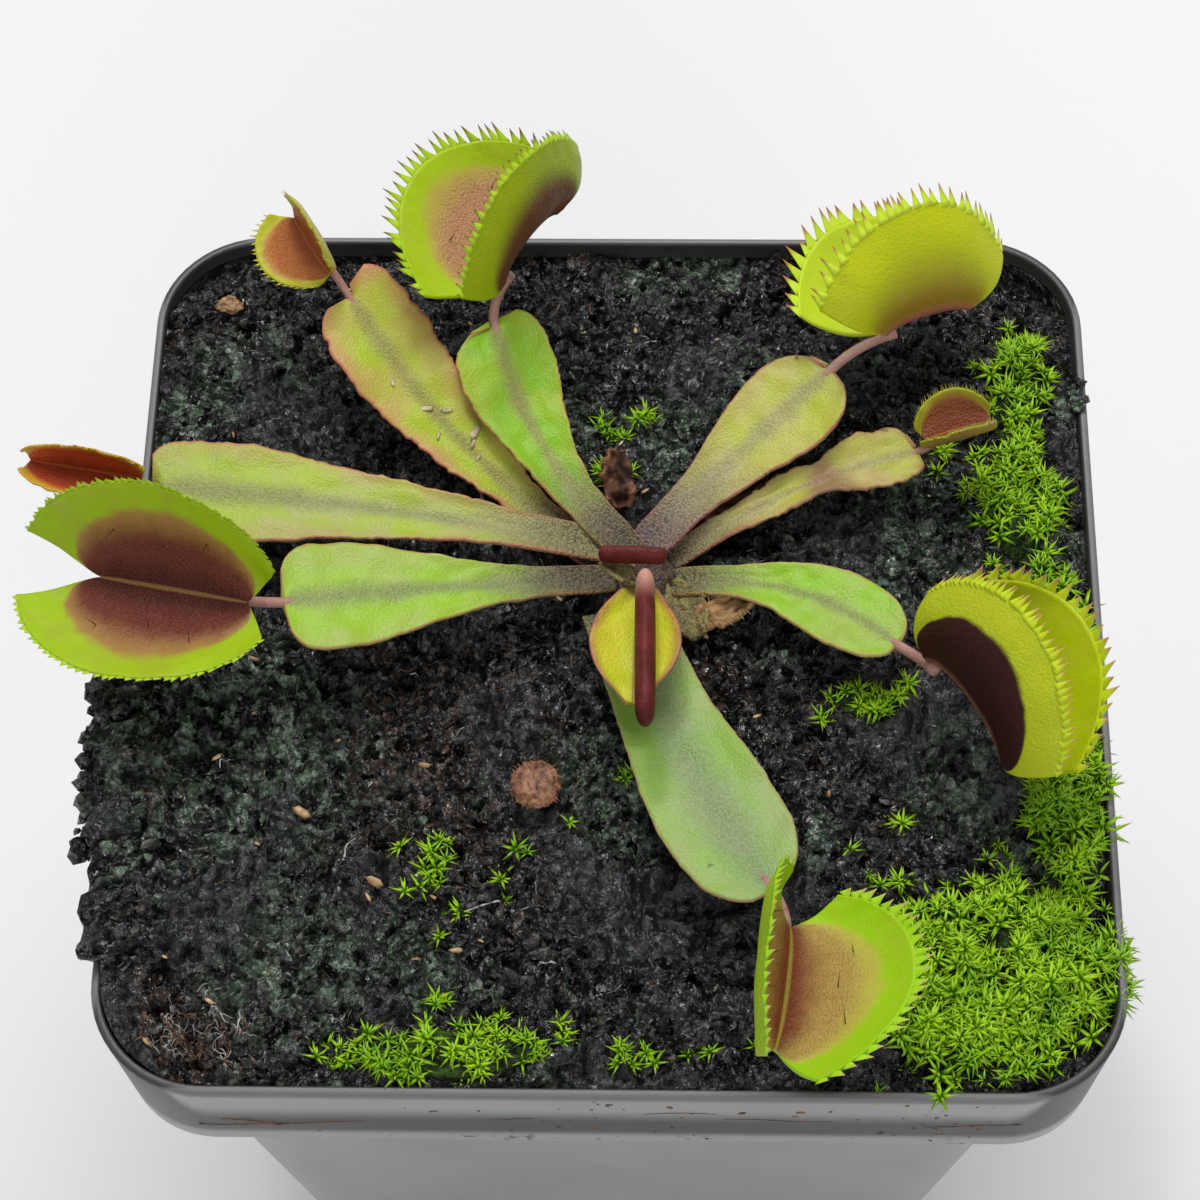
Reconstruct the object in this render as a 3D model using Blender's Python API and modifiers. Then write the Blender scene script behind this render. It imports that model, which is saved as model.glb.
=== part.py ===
"""A Venus flytrap in a square nursery pot, at its real size.

Metres, +Z up. The pot stands on z = 0, centred on the Z axis, and its front faces -Y.
Every piece is one closed object of its own: the pot, the soil, the crown, each leaf blade
with its stalk, each trap, the young and the dead leaves, the moss cushions and two loose bits.
"""

import math

import bmesh
import bpy
from mathutils import Matrix, Vector

MM = 0.001

# Pot
POT_HEIGHT = 80 * MM
RIM_SIDE = 85 * MM  # outside, across the flats
RIM_RADIUS = 9.8 * MM
BAND_HEIGHT = 13.5 * MM  # the deep smooth band under the rim
BAND_FOOT_SIDE = 82.4 * MM
BAND_FOOT_RADIUS = 8.2 * MM
BODY_TOP_SIDE = 76 * MM
FOOT_SIDE = 60 * MM
BODY_RADIUS = 8 * MM
FOOT_BEVEL = 1.2 * MM
WALL = 0.8 * MM
DRAIN_RADIUS = 3.5 * MM
DRAIN_OFFSET = 17 * MM
CORNER_STEPS = 7
SIDE_STEPS = 11

# Soil
GAP = 0.35 * MM  # left between neighbours that touch in the real thing
SOIL_TOP_RINGS = 12
CRUST_LEVEL = POT_HEIGHT + 2.0 * MM  # the crust only hangs out where the soil is this high
CRUST_OVERHANG = 1.9 * MM

# Plant
CROWN_AT = Vector((2.5 * MM, 4.0 * MM, 0))
CROWN_RADIUS = 3.5 * MM
CROWN_HEIGHT = 3.2 * MM
BLADE_THICKNESS = 0.9 * MM
STALK_HALF_WIDTH = 0.55 * MM
LOBE_THICKNESS = 0.7 * MM
LOBE_FROM = 20  # degrees of the margin's half circle where a lobe begins and ends

# Each grown leaf, as a grower would measure it, in millimetres and degrees.
#   turn, reach: heading of the blade seen from above and length from the crown to the neck
#   start: where the blade begins (ahead of the crown's centre, aside to the left)
#   bow: how far the middle bends to the left; rise: height over the rim of start, middle and neck
#   base, wide: half widths at the crown and at the widest place (left, right)
#   at: where along the blade it is widest; square: how square its shoulders are
#   ears: how far the left and right shoulders reach past the neck
#   stalk: length, heading and climb of the short stalk from the neck to the trap
LEAVES = {
    1: dict(turn=191, start=(4.0, 0.0), reach=30.6, bow=-0.3, rise=(4.2, 6.5, 9.0), base=1.3, wide=(5.2, 5.2),
            at=0.86, square=3.0, ears=(0.2, 0.0), stalk=(2.6, 200, 1.0)),
    2: dict(turn=171, start=(4.2, -2.1), reach=42.5, bow=-0.4, rise=(4.2, 6.0, 7.0), base=1.6, wide=(4.9, 4.9),
            at=0.86, square=3.2, ears=(0.0, 1.4), stalk=(0.9, 165, 1.0)),
    3: dict(turn=136, start=(5.5, 1.1), reach=36.3, bow=1.4, rise=(2.7, 5.0, 9.0), base=1.5, wide=(4.4, 4.7),
            at=0.82, square=3.0, ears=(0.3, 2.4), stalk=(1.6, 130, 1.6)),
    4: dict(turn=120, start=(7.2, 0.0), reach=26.6, bow=1.6, rise=(4.4, 6.0, 8.0), base=1.6, wide=(4.3, 4.3),
            at=0.82, square=2.8, ears=(-0.6, 1.2), stalk=(2.1, 65, 2.6)),
    5: dict(turn=48.5, start=(3.4, 1.6), reach=24.6, bow=0.4, rise=(4.0, 5.5, 8.0), base=1.8, wide=(4.4, 4.5),
            at=0.78, square=2.6, ears=(-0.4, 0.0), stalk=(5.0, 21, 1.6)),
    6: dict(turn=27, start=(4.0, 0.9), reach=26.8, bow=0.9, rise=(2.8, 4.4, 4.6), base=1.1, wide=(2.9, 2.6),
            at=0.88, square=3.0, ears=(-0.2, 0.6), stalk=(0.6, 15, 0.4)),
    7: dict(turn=-20, start=(3.4, 0.7), reach=22.9, bow=2.0, rise=(3.4, 5.0, 6.0), base=1.3, wide=(3.6, 3.7),
            at=0.72, square=2.4, ears=(0.0, 0.4), stalk=(3.2, -55, 1.8)),
    8: dict(turn=-71, start=(4.2, -2.6), reach=32.8, bow=-1.0, rise=(2.9, 4.8, 7.0), base=2.6, wide=(5.0, 5.2),
            at=0.74, square=2.4, ears=(0.0, 0.6), stalk=(4.9, -81, 2.2)),
}
# Each trap. turn, pitch, roll: pose of its hinge; open: angle of each lobe (left, right) from the
# middle of the mouth; hinge: its length; span, depth: of a lobe; shift: how far the lobes sit ahead
# along the hinge; arch: how far the hinge bends into the mouth; bulge: how far a lobe swells out
TRAPS = {
    1: dict(turn=166, pitch=-6, roll=-27, open=(51, 51), hinge=13.2, span=23.4, depth=10.2, shift=1.8, arch=0.3,
            bulge=0.9),
    2: dict(turn=172, pitch=4, roll=-36, open=(30, 30), hinge=9.8, span=11.4, depth=4.0, shift=0.2, arch=0.3,
            bulge=0.5),
    3: dict(turn=122, pitch=8, roll=-50, open=(45, 45), hinge=6.4, span=8.8, depth=4.8, shift=0.6, arch=0.2,
            bulge=0.5),
    4: dict(turn=58, pitch=2, roll=-37, open=(35, 35), hinge=9.2, span=19.6, depth=11.8, shift=-0.8, arch=1.1,
            bulge=1.5),
    5: dict(turn=28, pitch=-11, roll=-54, open=(29, 29), hinge=9.2, span=20.0, depth=11.3, shift=-1.6, arch=0.8,
            bulge=1.5),
    6: dict(turn=15, pitch=6, roll=-6, open=(37, 37), hinge=6.0, span=7.2, depth=3.8, shift=-0.2, arch=0.2,
            bulge=0.5),
    7: dict(turn=-59, pitch=-1, roll=-37, open=(17, 16), hinge=11.4, span=20.4, depth=12.2, shift=0.6, arch=1.4,
            bulge=1.6),
    8: dict(turn=-97, pitch=15, roll=-35, open=(29, 42), hinge=11.8, span=19.4, depth=11.0, shift=0.4, arch=0.6,
            bulge=1.2),
}

GREEN = (0.20, 0.42, 0.06)
LIME = (0.36, 0.58, 0.06)
BUD_RED = (0.20, 0.03, 0.03)
OLIVE = (0.20, 0.19, 0.07)
BROWN = (0.14, 0.07, 0.04)
MOSS = (0.12, 0.40, 0.03)


def clear_scene():
    for obj in list(bpy.data.objects):
        bpy.data.objects.remove(obj, do_unlink=True)
    for group in list(bpy.data.collections):
        bpy.data.collections.remove(group)


def material(name, colour, roughness):
    found = bpy.data.materials.get(name)
    if found:
        return found
    made = bpy.data.materials.new(name)
    made.use_nodes = True
    shader = made.node_tree.nodes["Principled BSDF"]
    shader.inputs["Base Color"].default_value = (*colour, 1)
    shader.inputs["Roughness"].default_value = roughness
    made.diffuse_color = (*colour, 1)
    return made


def add_object(name, bm, colour, roughness=0.6):
    """Turns the bmesh into a named object in the plant's collection, with its faces outward."""
    mesh = bpy.data.meshes.new(name)
    bm.to_mesh(mesh)
    bm.free()
    obj = bpy.data.objects.new(name, mesh)
    obj.data.materials.append(material(name + "_surface", colour, roughness))
    bpy.data.collections["potted_venus_flytrap"].objects.link(obj)
    return obj


def smooth(x):
    x = min(max(x, 0.0), 1.0)
    return x * x * (3 - 2 * x)


def rounded_square(half, radius):
    """Points of a square with round corners, counter-clockwise from the foot of its upper right corner."""
    points = []
    for corner in range(4):
        turn = Matrix.Rotation(corner * math.pi / 2, 2)
        middle = Vector((half - radius, half - radius))
        for step in range(CORNER_STEPS + 1):
            angle = math.pi / 2 * step / CORNER_STEPS
            points.append(turn @ (middle + radius * Vector((math.cos(angle), math.sin(angle)))))
        for step in range(1, SIDE_STEPS):
            along = (half - radius) * (1 - 2 * step / SIDE_STEPS)
            points.append(turn @ Vector((along, half)))
    return points


def loft(bm, rings, cap_start=True, cap_end=True):
    """Joins rings of equal count with quads. Rings run so that the outside is on their right."""
    loops = [[bm.verts.new(point) for point in ring] for ring in rings]
    count = len(loops[0])
    for lower, upper in zip(loops, loops[1:]):
        for i in range(count):
            j = (i + 1) % count
            bm.faces.new((lower[i], lower[j], upper[j], upper[i]))
    if cap_start:
        bm.faces.new(list(reversed(loops[0])))
    if cap_end:
        bm.faces.new(loops[-1])
    return loops


def ring_at(half, radius, z):
    return [Vector((p.x, p.y, z)) for p in rounded_square(half, radius)]


def build_pot():
    """The outer skin from foot to rim, thickened inward, with four drain holes cut in its floor."""
    band_foot = POT_HEIGHT - BAND_HEIGHT
    bm = bmesh.new()
    loft(
        bm,
        [
            ring_at(FOOT_SIDE / 2 - FOOT_BEVEL, BODY_RADIUS - FOOT_BEVEL, 0),
            ring_at(FOOT_SIDE / 2, BODY_RADIUS, FOOT_BEVEL),
            ring_at(BODY_TOP_SIDE / 2, BODY_RADIUS, band_foot),
            ring_at(BAND_FOOT_SIDE / 2, BAND_FOOT_RADIUS, band_foot),
            ring_at(RIM_SIDE / 2, RIM_RADIUS, POT_HEIGHT),
        ],
        cap_end=False,
    )
    pot = add_object("pot", bm, (0.30, 0.31, 0.32), 0.45)
    wall = pot.modifiers.new("wall", "SOLIDIFY")
    wall.thickness = WALL
    wall.offset = -1
    wall.use_even_offset = True
    for i, (sx, sy) in enumerate([(1, 1), (-1, 1), (-1, -1), (1, -1)]):
        bm = bmesh.new()
        bmesh.ops.create_cone(
            bm, cap_ends=True, segments=16, radius1=DRAIN_RADIUS, radius2=DRAIN_RADIUS, depth=8 * MM
        )
        drill = add_object(f"drain_drill_{i + 1}", bm, BROWN)
        drill.location = (sx * DRAIN_OFFSET, sy * DRAIN_OFFSET, 0)
        drill.hide_render = True
        drill.display_type = "WIRE"
        cut = pot.modifiers.new(f"drain_{i + 1}", "BOOLEAN")
        cut.operation = "DIFFERENCE"
        cut.solver = "EXACT"
        cut.object = drill
    return pot


def soil_height(x, y):
    """Height of the soil: high in the middle and on the left, lower at the back and front right."""
    u, v = x / (RIM_SIDE / 2), y / (RIM_SIDE / 2)
    left = smooth((-u - 0.55) / 0.35) * smooth((0.35 - v) / 0.5) * smooth((v + 0.95) / 0.3)
    level = 0.2 - 2.4 * smooth((abs(v) - 0.6) / 0.4) * (1 if v > 0 else 0.5) - 1.2 * smooth((u - 0.6) / 0.4)
    mound = 1.0 * math.exp(-((u - 0.05) ** 2 + (v - 0.1) ** 2) / 0.12)
    lumps = 0.35 * math.sin(7 * u + 2 * v) * math.cos(6 * v - 3 * u) + 0.2 * math.sin(13 * u - 5 * v + 1)
    return POT_HEIGHT + (level + mound + lumps + 3.0 * left) * MM


def build_soil():
    """One closed plug: the bumpy top, the crust that hangs over the rim, and the sides inside the pot."""
    inside = RIM_SIDE / 2 - WALL - 1.8 * GAP
    radius = RIM_RADIUS - WALL - 1.8 * GAP
    shape = [p / inside for p in rounded_square(inside, radius)]
    edge = [soil_height(p.x * inside, p.y * inside) for p in shape]
    out = [CRUST_OVERHANG * smooth((z - CRUST_LEVEL) / (0.6 * MM)) for z in edge]
    top = []
    for k in range(SOIL_TOP_RINGS, 0, -1):
        part = k / SOIL_TOP_RINGS
        ring = []
        for p, over in zip(shape, out):
            reach = inside * part + over * part**6
            ring.append(Vector((p.x * reach, p.y * reach, soil_height(p.x * inside * part, p.y * inside * part))))
        top.append(ring)
    under = [min(POT_HEIGHT + GAP, z - 0.8 * MM) for z in edge]
    band_foot = POT_HEIGHT - BAND_HEIGHT + WALL + GAP
    ledge_half = BAND_FOOT_SIDE / 2 - WALL - GAP
    neck_half = BODY_TOP_SIDE / 2 - WALL - GAP
    foot_half = FOOT_SIDE / 2 - WALL - GAP - 0.2 * MM
    inner = BODY_RADIUS - WALL - GAP
    rings = [
        ring_at(foot_half, inner, WALL + GAP),
        ring_at(neck_half, inner, band_foot),
        ring_at(ledge_half, BAND_FOOT_RADIUS - WALL - GAP, band_foot),
        [Vector((p.x * inside, p.y * inside, z - 0.3 * MM)) for p, z in zip(shape, under)],
        [Vector((p.x * (inside + o), p.y * (inside + o), z)) for p, o, z in zip(shape, out, under)],
    ] + top
    bm = bmesh.new()
    loops = loft(bm, rings, cap_end=False)
    centre = bm.verts.new((0, 0, soil_height(0, 0)))
    last = loops[-1]
    for i in range(len(last)):
        bm.faces.new((last[i], last[(i + 1) % len(last)], centre))
    return add_object("soil", bm, (0.02, 0.02, 0.02), 0.5)


def build_crown():
    bm = bmesh.new()
    bmesh.ops.create_uvsphere(bm, u_segments=16, v_segments=8, radius=1)
    for vert in bm.verts:
        vert.co.z = math.copysign(abs(vert.co.z) ** 2, vert.co.z)
    bmesh.ops.scale(bm, vec=(CROWN_RADIUS, CROWN_RADIUS, CROWN_HEIGHT / 2), verts=bm.verts)
    at = CROWN_AT.copy()
    at.z = soil_height(at.x, at.y) + CROWN_HEIGHT / 2 + GAP
    bmesh.ops.translate(bm, vec=at, verts=bm.verts)
    return add_object("crown", bm, (0.30, 0.30, 0.12))


def blade_half_width(leaf, side, v):
    """Half width at v along the blade: a slow swell from the base, then rounded shoulders."""
    wide = leaf["wide"][side]
    if v < leaf["at"]:
        return leaf["base"] + (wide - leaf["base"]) * smooth((v / leaf["at"]) ** 1.4)
    rest = (v - leaf["at"]) / (1 - leaf["at"])
    return wide * max(1 - rest ** leaf["square"], 0) ** (1 / leaf["square"])


def blade_middle(leaf, v):
    """Middle line of the blade for v from 0 to 1, in millimetres from the crown, height over the rim."""
    turn = math.radians(leaf["turn"])
    ahead = Vector((math.cos(turn), math.sin(turn), 0))
    left = Vector((-math.sin(turn), math.cos(turn), 0))
    start, middle, end = leaf["rise"]
    height = start * (1 - v) * (1 - 2 * v) + middle * 4 * v * (1 - v) + end * v * (2 * v - 1)
    begin, beside = leaf["start"]
    along = begin + (leaf["reach"] - begin) * v
    aside = beside * (1 - v) + leaf["bow"] * 4 * v * (1 - v)
    return ahead * along + left * aside + Vector((0, 0, height))


def stalk_end(leaf):
    length, turn, climb = leaf["stalk"]
    turn = math.radians(turn)
    return blade_middle(leaf, 1) + Vector((length * math.cos(turn), length * math.sin(turn), climb))


def blade_rows(leaf, blade_steps, stalk_steps):
    """Rows across the leaf, blade first and then stalk: (middle, left and right half widths and ears)."""
    rows = []
    for i in range(blade_steps + 1):
        v = (i / blade_steps) ** 0.85
        widths = [max(blade_half_width(leaf, side, v), STALK_HALF_WIDTH / MM) for side in (0, 1)]
        ears = [ear * smooth((v - 0.7) / 0.3) for ear in leaf["ears"]]
        rows.append((blade_middle(leaf, v), *widths, *ears))
    neck, end = blade_middle(leaf, 1), stalk_end(leaf)
    for i in range(1, stalk_steps + 1):
        rows.append((neck.lerp(end, i / stalk_steps), STALK_HALF_WIDTH / MM, STALK_HALF_WIDTH / MM, 0, 0))
    return rows


def blade_sheet(rows, across, groove=0.35):
    """A grid shaped to the rows: a flat blade with a slight groove along its midrib."""
    bm = bmesh.new()
    bmesh.ops.create_grid(bm, x_segments=len(rows) - 1, y_segments=across, size=1)
    bm.verts.ensure_lookup_table()
    for vert in bm.verts:
        row = round((vert.co.x + 1) / 2 * (len(rows) - 1))
        side = vert.co.y
        middle, left, right, left_ear, right_ear = rows[row]
        before, after = rows[max(row - 1, 0)][0], rows[min(row + 1, len(rows) - 1)][0]
        ahead = (after - before).normalized()
        leftward = Vector((-ahead.y, ahead.x, 0)).normalized()
        width = (left if side > 0 else right) * side
        lift = groove * abs(side) ** 1.5 * min(1, abs(width) / 2)
        ear = (left_ear if side > 0 else right_ear) * side * side * min(1, abs(width))
        spot = middle + leftward * width + ahead * ear + Vector((0, 0, lift))
        vert.co = CROWN_AT + Vector((0, 0, POT_HEIGHT)) + spot * MM
    return bm


def thicken(obj, thickness):
    skin = obj.modifiers.new("skin", "SOLIDIFY")
    skin.thickness = thickness
    skin.offset = -1
    return obj


def build_blade(number):
    leaf = LEAVES[number]
    bm = blade_sheet(blade_rows(leaf, 12, 2), 4)
    return thicken(add_object(f"leaf_blade_{number}", bm, GREEN), BLADE_THICKNESS)


def trap_axes(trap):
    """Unit vectors of a trap: along its hinge, out through its mouth, and to its right."""
    turn, pitch, roll = (math.radians(trap[key]) for key in ("turn", "pitch", "roll"))
    ahead = Vector((math.cos(turn) * math.cos(pitch), math.sin(turn) * math.cos(pitch), math.sin(pitch)))
    up = Vector((-math.cos(turn) * math.sin(pitch), -math.sin(turn) * math.sin(pitch), math.cos(pitch)))
    right = ahead.cross(up)
    mouth = up * math.cos(roll) + right * math.sin(roll)
    return ahead, mouth, ahead.cross(mouth)


def lobe_point(trap, side, s, t):
    """A point of a lobe in millimetres from the trap's base. s runs 0 to 1 along the hinge and t from
    the hinge to the margin; side is 1 for the right lobe and -1 for the left one."""
    ahead, mouth, right = trap_axes(trap)
    spread = math.radians(trap["open"][0 if side < 0 else 1])
    rise = mouth * math.cos(spread) + right * side * math.sin(spread)
    outward = right * side * math.cos(spread) - mouth * math.sin(spread)
    first = math.radians(LOBE_FROM)
    angle = first + (math.pi - 2 * first) * s
    on_hinge = trap["hinge"] * (1 - math.cos(angle) / math.cos(first)) / 2
    on_margin = trap["hinge"] / 2 + trap["shift"] - trap["span"] / 2 * math.cos(angle)
    sag = trap["arch"] * (1 - (2 * s - 1) ** 2) * (1 - t)
    swell = trap["bulge"] * math.sin(math.pi * t**0.9) * math.sin(angle) ** 0.5
    along = on_hinge + (on_margin - on_hinge) * t**0.75
    return ahead * along + mouth * sag + rise * trap["depth"] * math.sin(angle) * t + outward * swell


def build_trap(number):
    """Two lobes as one sheet, folded at the hinge and thickened away from the mouth."""
    trap = TRAPS[number]
    large = trap["span"] > 12
    bm = bmesh.new()
    along, across = (14, 8) if large else (10, 6)
    bmesh.ops.create_grid(bm, x_segments=along, y_segments=across, size=1)
    ahead, mouth, _ = trap_axes(trap)
    leaf = LEAVES[number]
    base = CROWN_AT / MM + Vector((0, 0, POT_HEIGHT / MM)) + stalk_end(leaf)
    clear = (GAP + LOBE_THICKNESS) / MM
    base += ahead * (GAP / MM) + mouth * clear
    for vert in bm.verts:
        side = 1 if vert.co.y < 0 else -1
        vert.co = (base + lobe_point(trap, side, (vert.co.x + 1) / 2, abs(vert.co.y))) * MM
    return thicken(add_object(f"trap_{number}", bm, LIME), LOBE_THICKNESS)


def build_bud(name, at, turn, pitch, length, depth, thickness):
    """A young shut trap: a thin upright pod, rounded all round. `at` is the middle, in millimetres."""
    bm = bmesh.new()
    bmesh.ops.create_uvsphere(bm, u_segments=12, v_segments=8, radius=1)
    for vert in bm.verts:
        vert.co.x = math.copysign(abs(vert.co.x) ** 0.7, vert.co.x)
    bmesh.ops.scale(bm, vec=Vector((length, thickness, depth)) * MM / 2, verts=bm.verts)
    pose = Matrix.Rotation(math.radians(turn), 4, "Z") @ Matrix.Rotation(-math.radians(pitch), 4, "Y")
    bmesh.ops.transform(bm, matrix=pose, verts=bm.verts)
    bmesh.ops.translate(bm, vec=CROWN_AT + Vector((0, 0, POT_HEIGHT)) + Vector(at) * MM, verts=bm.verts)
    return add_object(name, bm, BUD_RED)


def build_scrap(name, at, turn, pitch, length, width, curl, colour, thickness=0.6):
    """A small leaf-like scrap: a tapered sheet that curls up at its sides. `at` is its start, in mm."""
    bm = bmesh.new()
    bmesh.ops.create_grid(bm, x_segments=6, y_segments=4, size=1)
    for vert in bm.verts:
        v, side = (vert.co.x + 1) / 2, vert.co.y
        half = width / 2 * (0.45 + 0.55 * math.sin(math.pi * min(v * 1.1, 1)))
        vert.co = Vector((v * length, side * half, curl * side * side + 0.3 * math.sin(5 * v))) * MM
    pose = Matrix.Rotation(math.radians(turn), 4, "Z") @ Matrix.Rotation(-math.radians(pitch), 4, "Y")
    bmesh.ops.transform(bm, matrix=pose, verts=bm.verts)
    bmesh.ops.translate(bm, vec=CROWN_AT + Vector((0, 0, POT_HEIGHT)) + Vector(at) * MM, verts=bm.verts)
    return thicken(add_object(name, bm, colour), thickness * MM)


def keep_inside(x, y):
    """The nearest point that is inside the pot's wall, clear of it."""
    half, radius = RIM_SIDE / 2 - WALL - 3 * GAP, RIM_RADIUS - WALL - 3 * GAP
    x, y = min(max(x, -half), half), min(max(y, -half), half)
    past = Vector((max(abs(x) - (half - radius), 0), max(abs(y) - (half - radius), 0)))
    if min(past) > 0 and past.length > radius:
        past = past.normalized() * radius
        x, y = (math.copysign(half - radius + offset, c) for c, offset in ((x, past.x), (y, past.y)))
    return x, y


def build_cushion(name, x, y, length, width, turn, height):
    """A moss cushion: a low dome with a wavy outline, lying on the soil. Sizes in millimetres."""
    lean = math.radians(turn)
    around, rings = 20, 4
    middle = Vector((x, y)) * MM
    below = [[] for _ in range(rings)]
    for i in range(around):
        angle = 2 * math.pi * i / around
        wave = 1 + 0.12 * math.sin(3 * angle + x) + 0.08 * math.cos(5 * angle + y)
        reach = Vector((length / 2 * wave * math.cos(angle), width / 2 * wave * math.sin(angle))) * MM
        edge = Vector(keep_inside(*(middle + Matrix.Rotation(lean, 2) @ reach)))
        for k in range(rings):
            spot = middle.lerp(edge, (k + 1) / rings)
            below[k].append(Vector((*spot, soil_height(*spot) + 1.4 * GAP)))
    bm = bmesh.new()
    above = []
    for k in range(rings, 0, -1):
        lift = height * MM * (0.25 + 0.75 * math.sqrt(max(1 - (k / rings) ** 2, 0)))
        above.append([Vector((p.x, p.y, p.z + lift)) for p in below[k - 1]])
    loft(bm, below + above)
    return add_object(name, bm, MOSS, 0.8)


def build_pebble(name, x, y, size, height, colour):
    """A small flattened bit lying on the soil. Sizes in millimetres."""
    bm = bmesh.new()
    bmesh.ops.create_icosphere(bm, subdivisions=2, radius=1)
    bmesh.ops.scale(bm, vec=Vector((size, size, height)) * MM / 2, verts=bm.verts)
    z = soil_height(x * MM, y * MM) + height / 2 * MM + GAP
    bmesh.ops.translate(bm, vec=(x * MM, y * MM, z), verts=bm.verts)
    return add_object(name, bm, colour)


def main():
    clear_scene()
    plant = bpy.data.collections.new("potted_venus_flytrap")
    bpy.context.scene.collection.children.link(plant)
    build_pot()
    build_soil()
    build_crown()
    for number in LEAVES:
        build_blade(number)
        build_trap(number)

    # The two young leaves stand up in the middle, each with its shut trap folded over it.
    build_scrap("young_blade_1", (0.0, -2.2, 5.9), -92, 12, 13.0, 8.0, 0.5, LIME)
    build_bud("bud_trap_1", (0.2, -9.8, 10.2), -92, 12, 15.0, 3.4, 1.7)
    build_scrap("young_blade_2", (0.8, 0.0, 6.0), 190, 20, 3.4, 2.6, 0.2, LIME)
    build_bud("bud_trap_2", (-0.8, -0.2, 8.7), 178, 6, 5.6, 2.2, 1.3)

    # Old leaves that have died back round the crown.
    build_scrap("dead_blade", (3.2, -2.9, 2.3), -68, 0, 4.2, 3.0, 0.2, OLIVE)
    build_scrap("dead_trap", (5.8, -5.0, 2.4), 22, 4, 4.6, 2.2, 0.6, BROWN)
    build_scrap("old_stub", (-2.0, 7.8, 2.2), 97, 30, 4.6, 2.2, 0.4, BROWN)
    build_scrap("brown_strip", (5.2, 6.5, 2.4), 38, -6, 7.0, 1.4, 0.2, BROWN)

    build_cushion("moss_right_back", 37.0, 24.5, 10.0, 5.5, 80, 1.6)
    build_cushion("moss_right_upper", 35.5, 12.5, 10.0, 7.0, 90, 1.6)
    build_cushion("moss_right_middle", 37.2, 1.5, 9.0, 6.0, 90, 1.6)
    build_cushion("moss_right_front", 37.0, -17.5, 11.0, 6.5, 88, 1.8)
    build_cushion("moss_corner", 31.0, -32.2, 20.0, 14.0, 20, 2.2)
    build_cushion("moss_front", -9.5, -37.6, 25.0, 4.6, 0, 1.4)
    build_cushion("moss_tuft_back", -0.5, 16.0, 4.5, 3.5, 20, 1.2)
    build_cushion("moss_tuft_right", 21.5, -7.2, 5.5, 3.5, 0, 1.2)
    build_cushion("moss_tuft_front", -13.0, -22.5, 6.0, 4.0, 70, 1.2)

    build_pebble("seed_head", -6.3, -15.4, 4.4, 1.6, BROWN)
    build_pebble("bark_flake", -36.0, 34.8, 2.2, 0.8, (0.35, 0.22, 0.10))


main()
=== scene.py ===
# %% [markdown]
# # A Venus flytrap in its nursery pot
# A Venus flytrap is a ring of flat green leaves lying on wet peat, each with a snapping trap at its end.
# The CAD frame already says where every piece is and how large it is. This lesson grows the same pieces
# again with the detail that a camera sees: teeth, hairs, pebbled skin, crumbly peat and star moss.
# Everything is in metres, and the pot stands on z = 0 with its front towards -Y.

import math
import random

import bmesh
import bpy
from mathutils import Matrix, Vector, noise


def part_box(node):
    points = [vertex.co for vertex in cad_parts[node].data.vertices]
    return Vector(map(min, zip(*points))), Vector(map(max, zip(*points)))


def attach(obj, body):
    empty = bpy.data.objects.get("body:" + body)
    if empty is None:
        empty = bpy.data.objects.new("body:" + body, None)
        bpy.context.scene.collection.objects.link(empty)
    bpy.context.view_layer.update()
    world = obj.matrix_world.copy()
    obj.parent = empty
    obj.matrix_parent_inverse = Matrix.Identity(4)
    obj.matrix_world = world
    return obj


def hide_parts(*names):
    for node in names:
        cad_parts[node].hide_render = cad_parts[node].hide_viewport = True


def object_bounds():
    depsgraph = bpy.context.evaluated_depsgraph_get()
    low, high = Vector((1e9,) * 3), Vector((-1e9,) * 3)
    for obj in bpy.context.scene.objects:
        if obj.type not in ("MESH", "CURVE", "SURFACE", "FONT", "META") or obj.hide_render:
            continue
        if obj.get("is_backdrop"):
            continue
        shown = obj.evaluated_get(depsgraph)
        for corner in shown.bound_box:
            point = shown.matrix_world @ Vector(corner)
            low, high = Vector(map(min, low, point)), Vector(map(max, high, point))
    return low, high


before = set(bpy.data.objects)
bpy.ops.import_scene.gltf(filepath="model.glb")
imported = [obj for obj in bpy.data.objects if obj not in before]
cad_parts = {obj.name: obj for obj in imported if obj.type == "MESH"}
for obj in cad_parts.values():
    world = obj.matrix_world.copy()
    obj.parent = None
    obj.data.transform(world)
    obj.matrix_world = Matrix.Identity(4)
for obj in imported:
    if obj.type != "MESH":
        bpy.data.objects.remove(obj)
cad_low, cad_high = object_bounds()
MM = 0.001
UP = Vector((0, 0, 1))
noise.seed_set(1)  # without a seed, the warp of the peat's grains would change from run to run
print("CAD nodes:", len(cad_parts), "size in mm:", [round(c / MM, 1) for c in cad_high - cad_low])

# %% [markdown]
# ## The camera
# The plant is looked down on, from the front and steeply from above, from less than an arm's length.
# A camera can be placed by hand, or worked out from a target, a distance and three angles. The second
# way is used, because each number then means something and can be changed alone.

# %% Camera
CAMERA_TARGET = Vector((-1.2, 3.6, 80.0)) * MM
CAMERA_DISTANCE = 283 * MM
CAMERA_ELEVATION, CAMERA_AZIMUTH, CAMERA_ROLL = (math.radians(a) for a in (60.34, 2.29, -1.63))
CAMERA_LENS = 97.07

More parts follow.
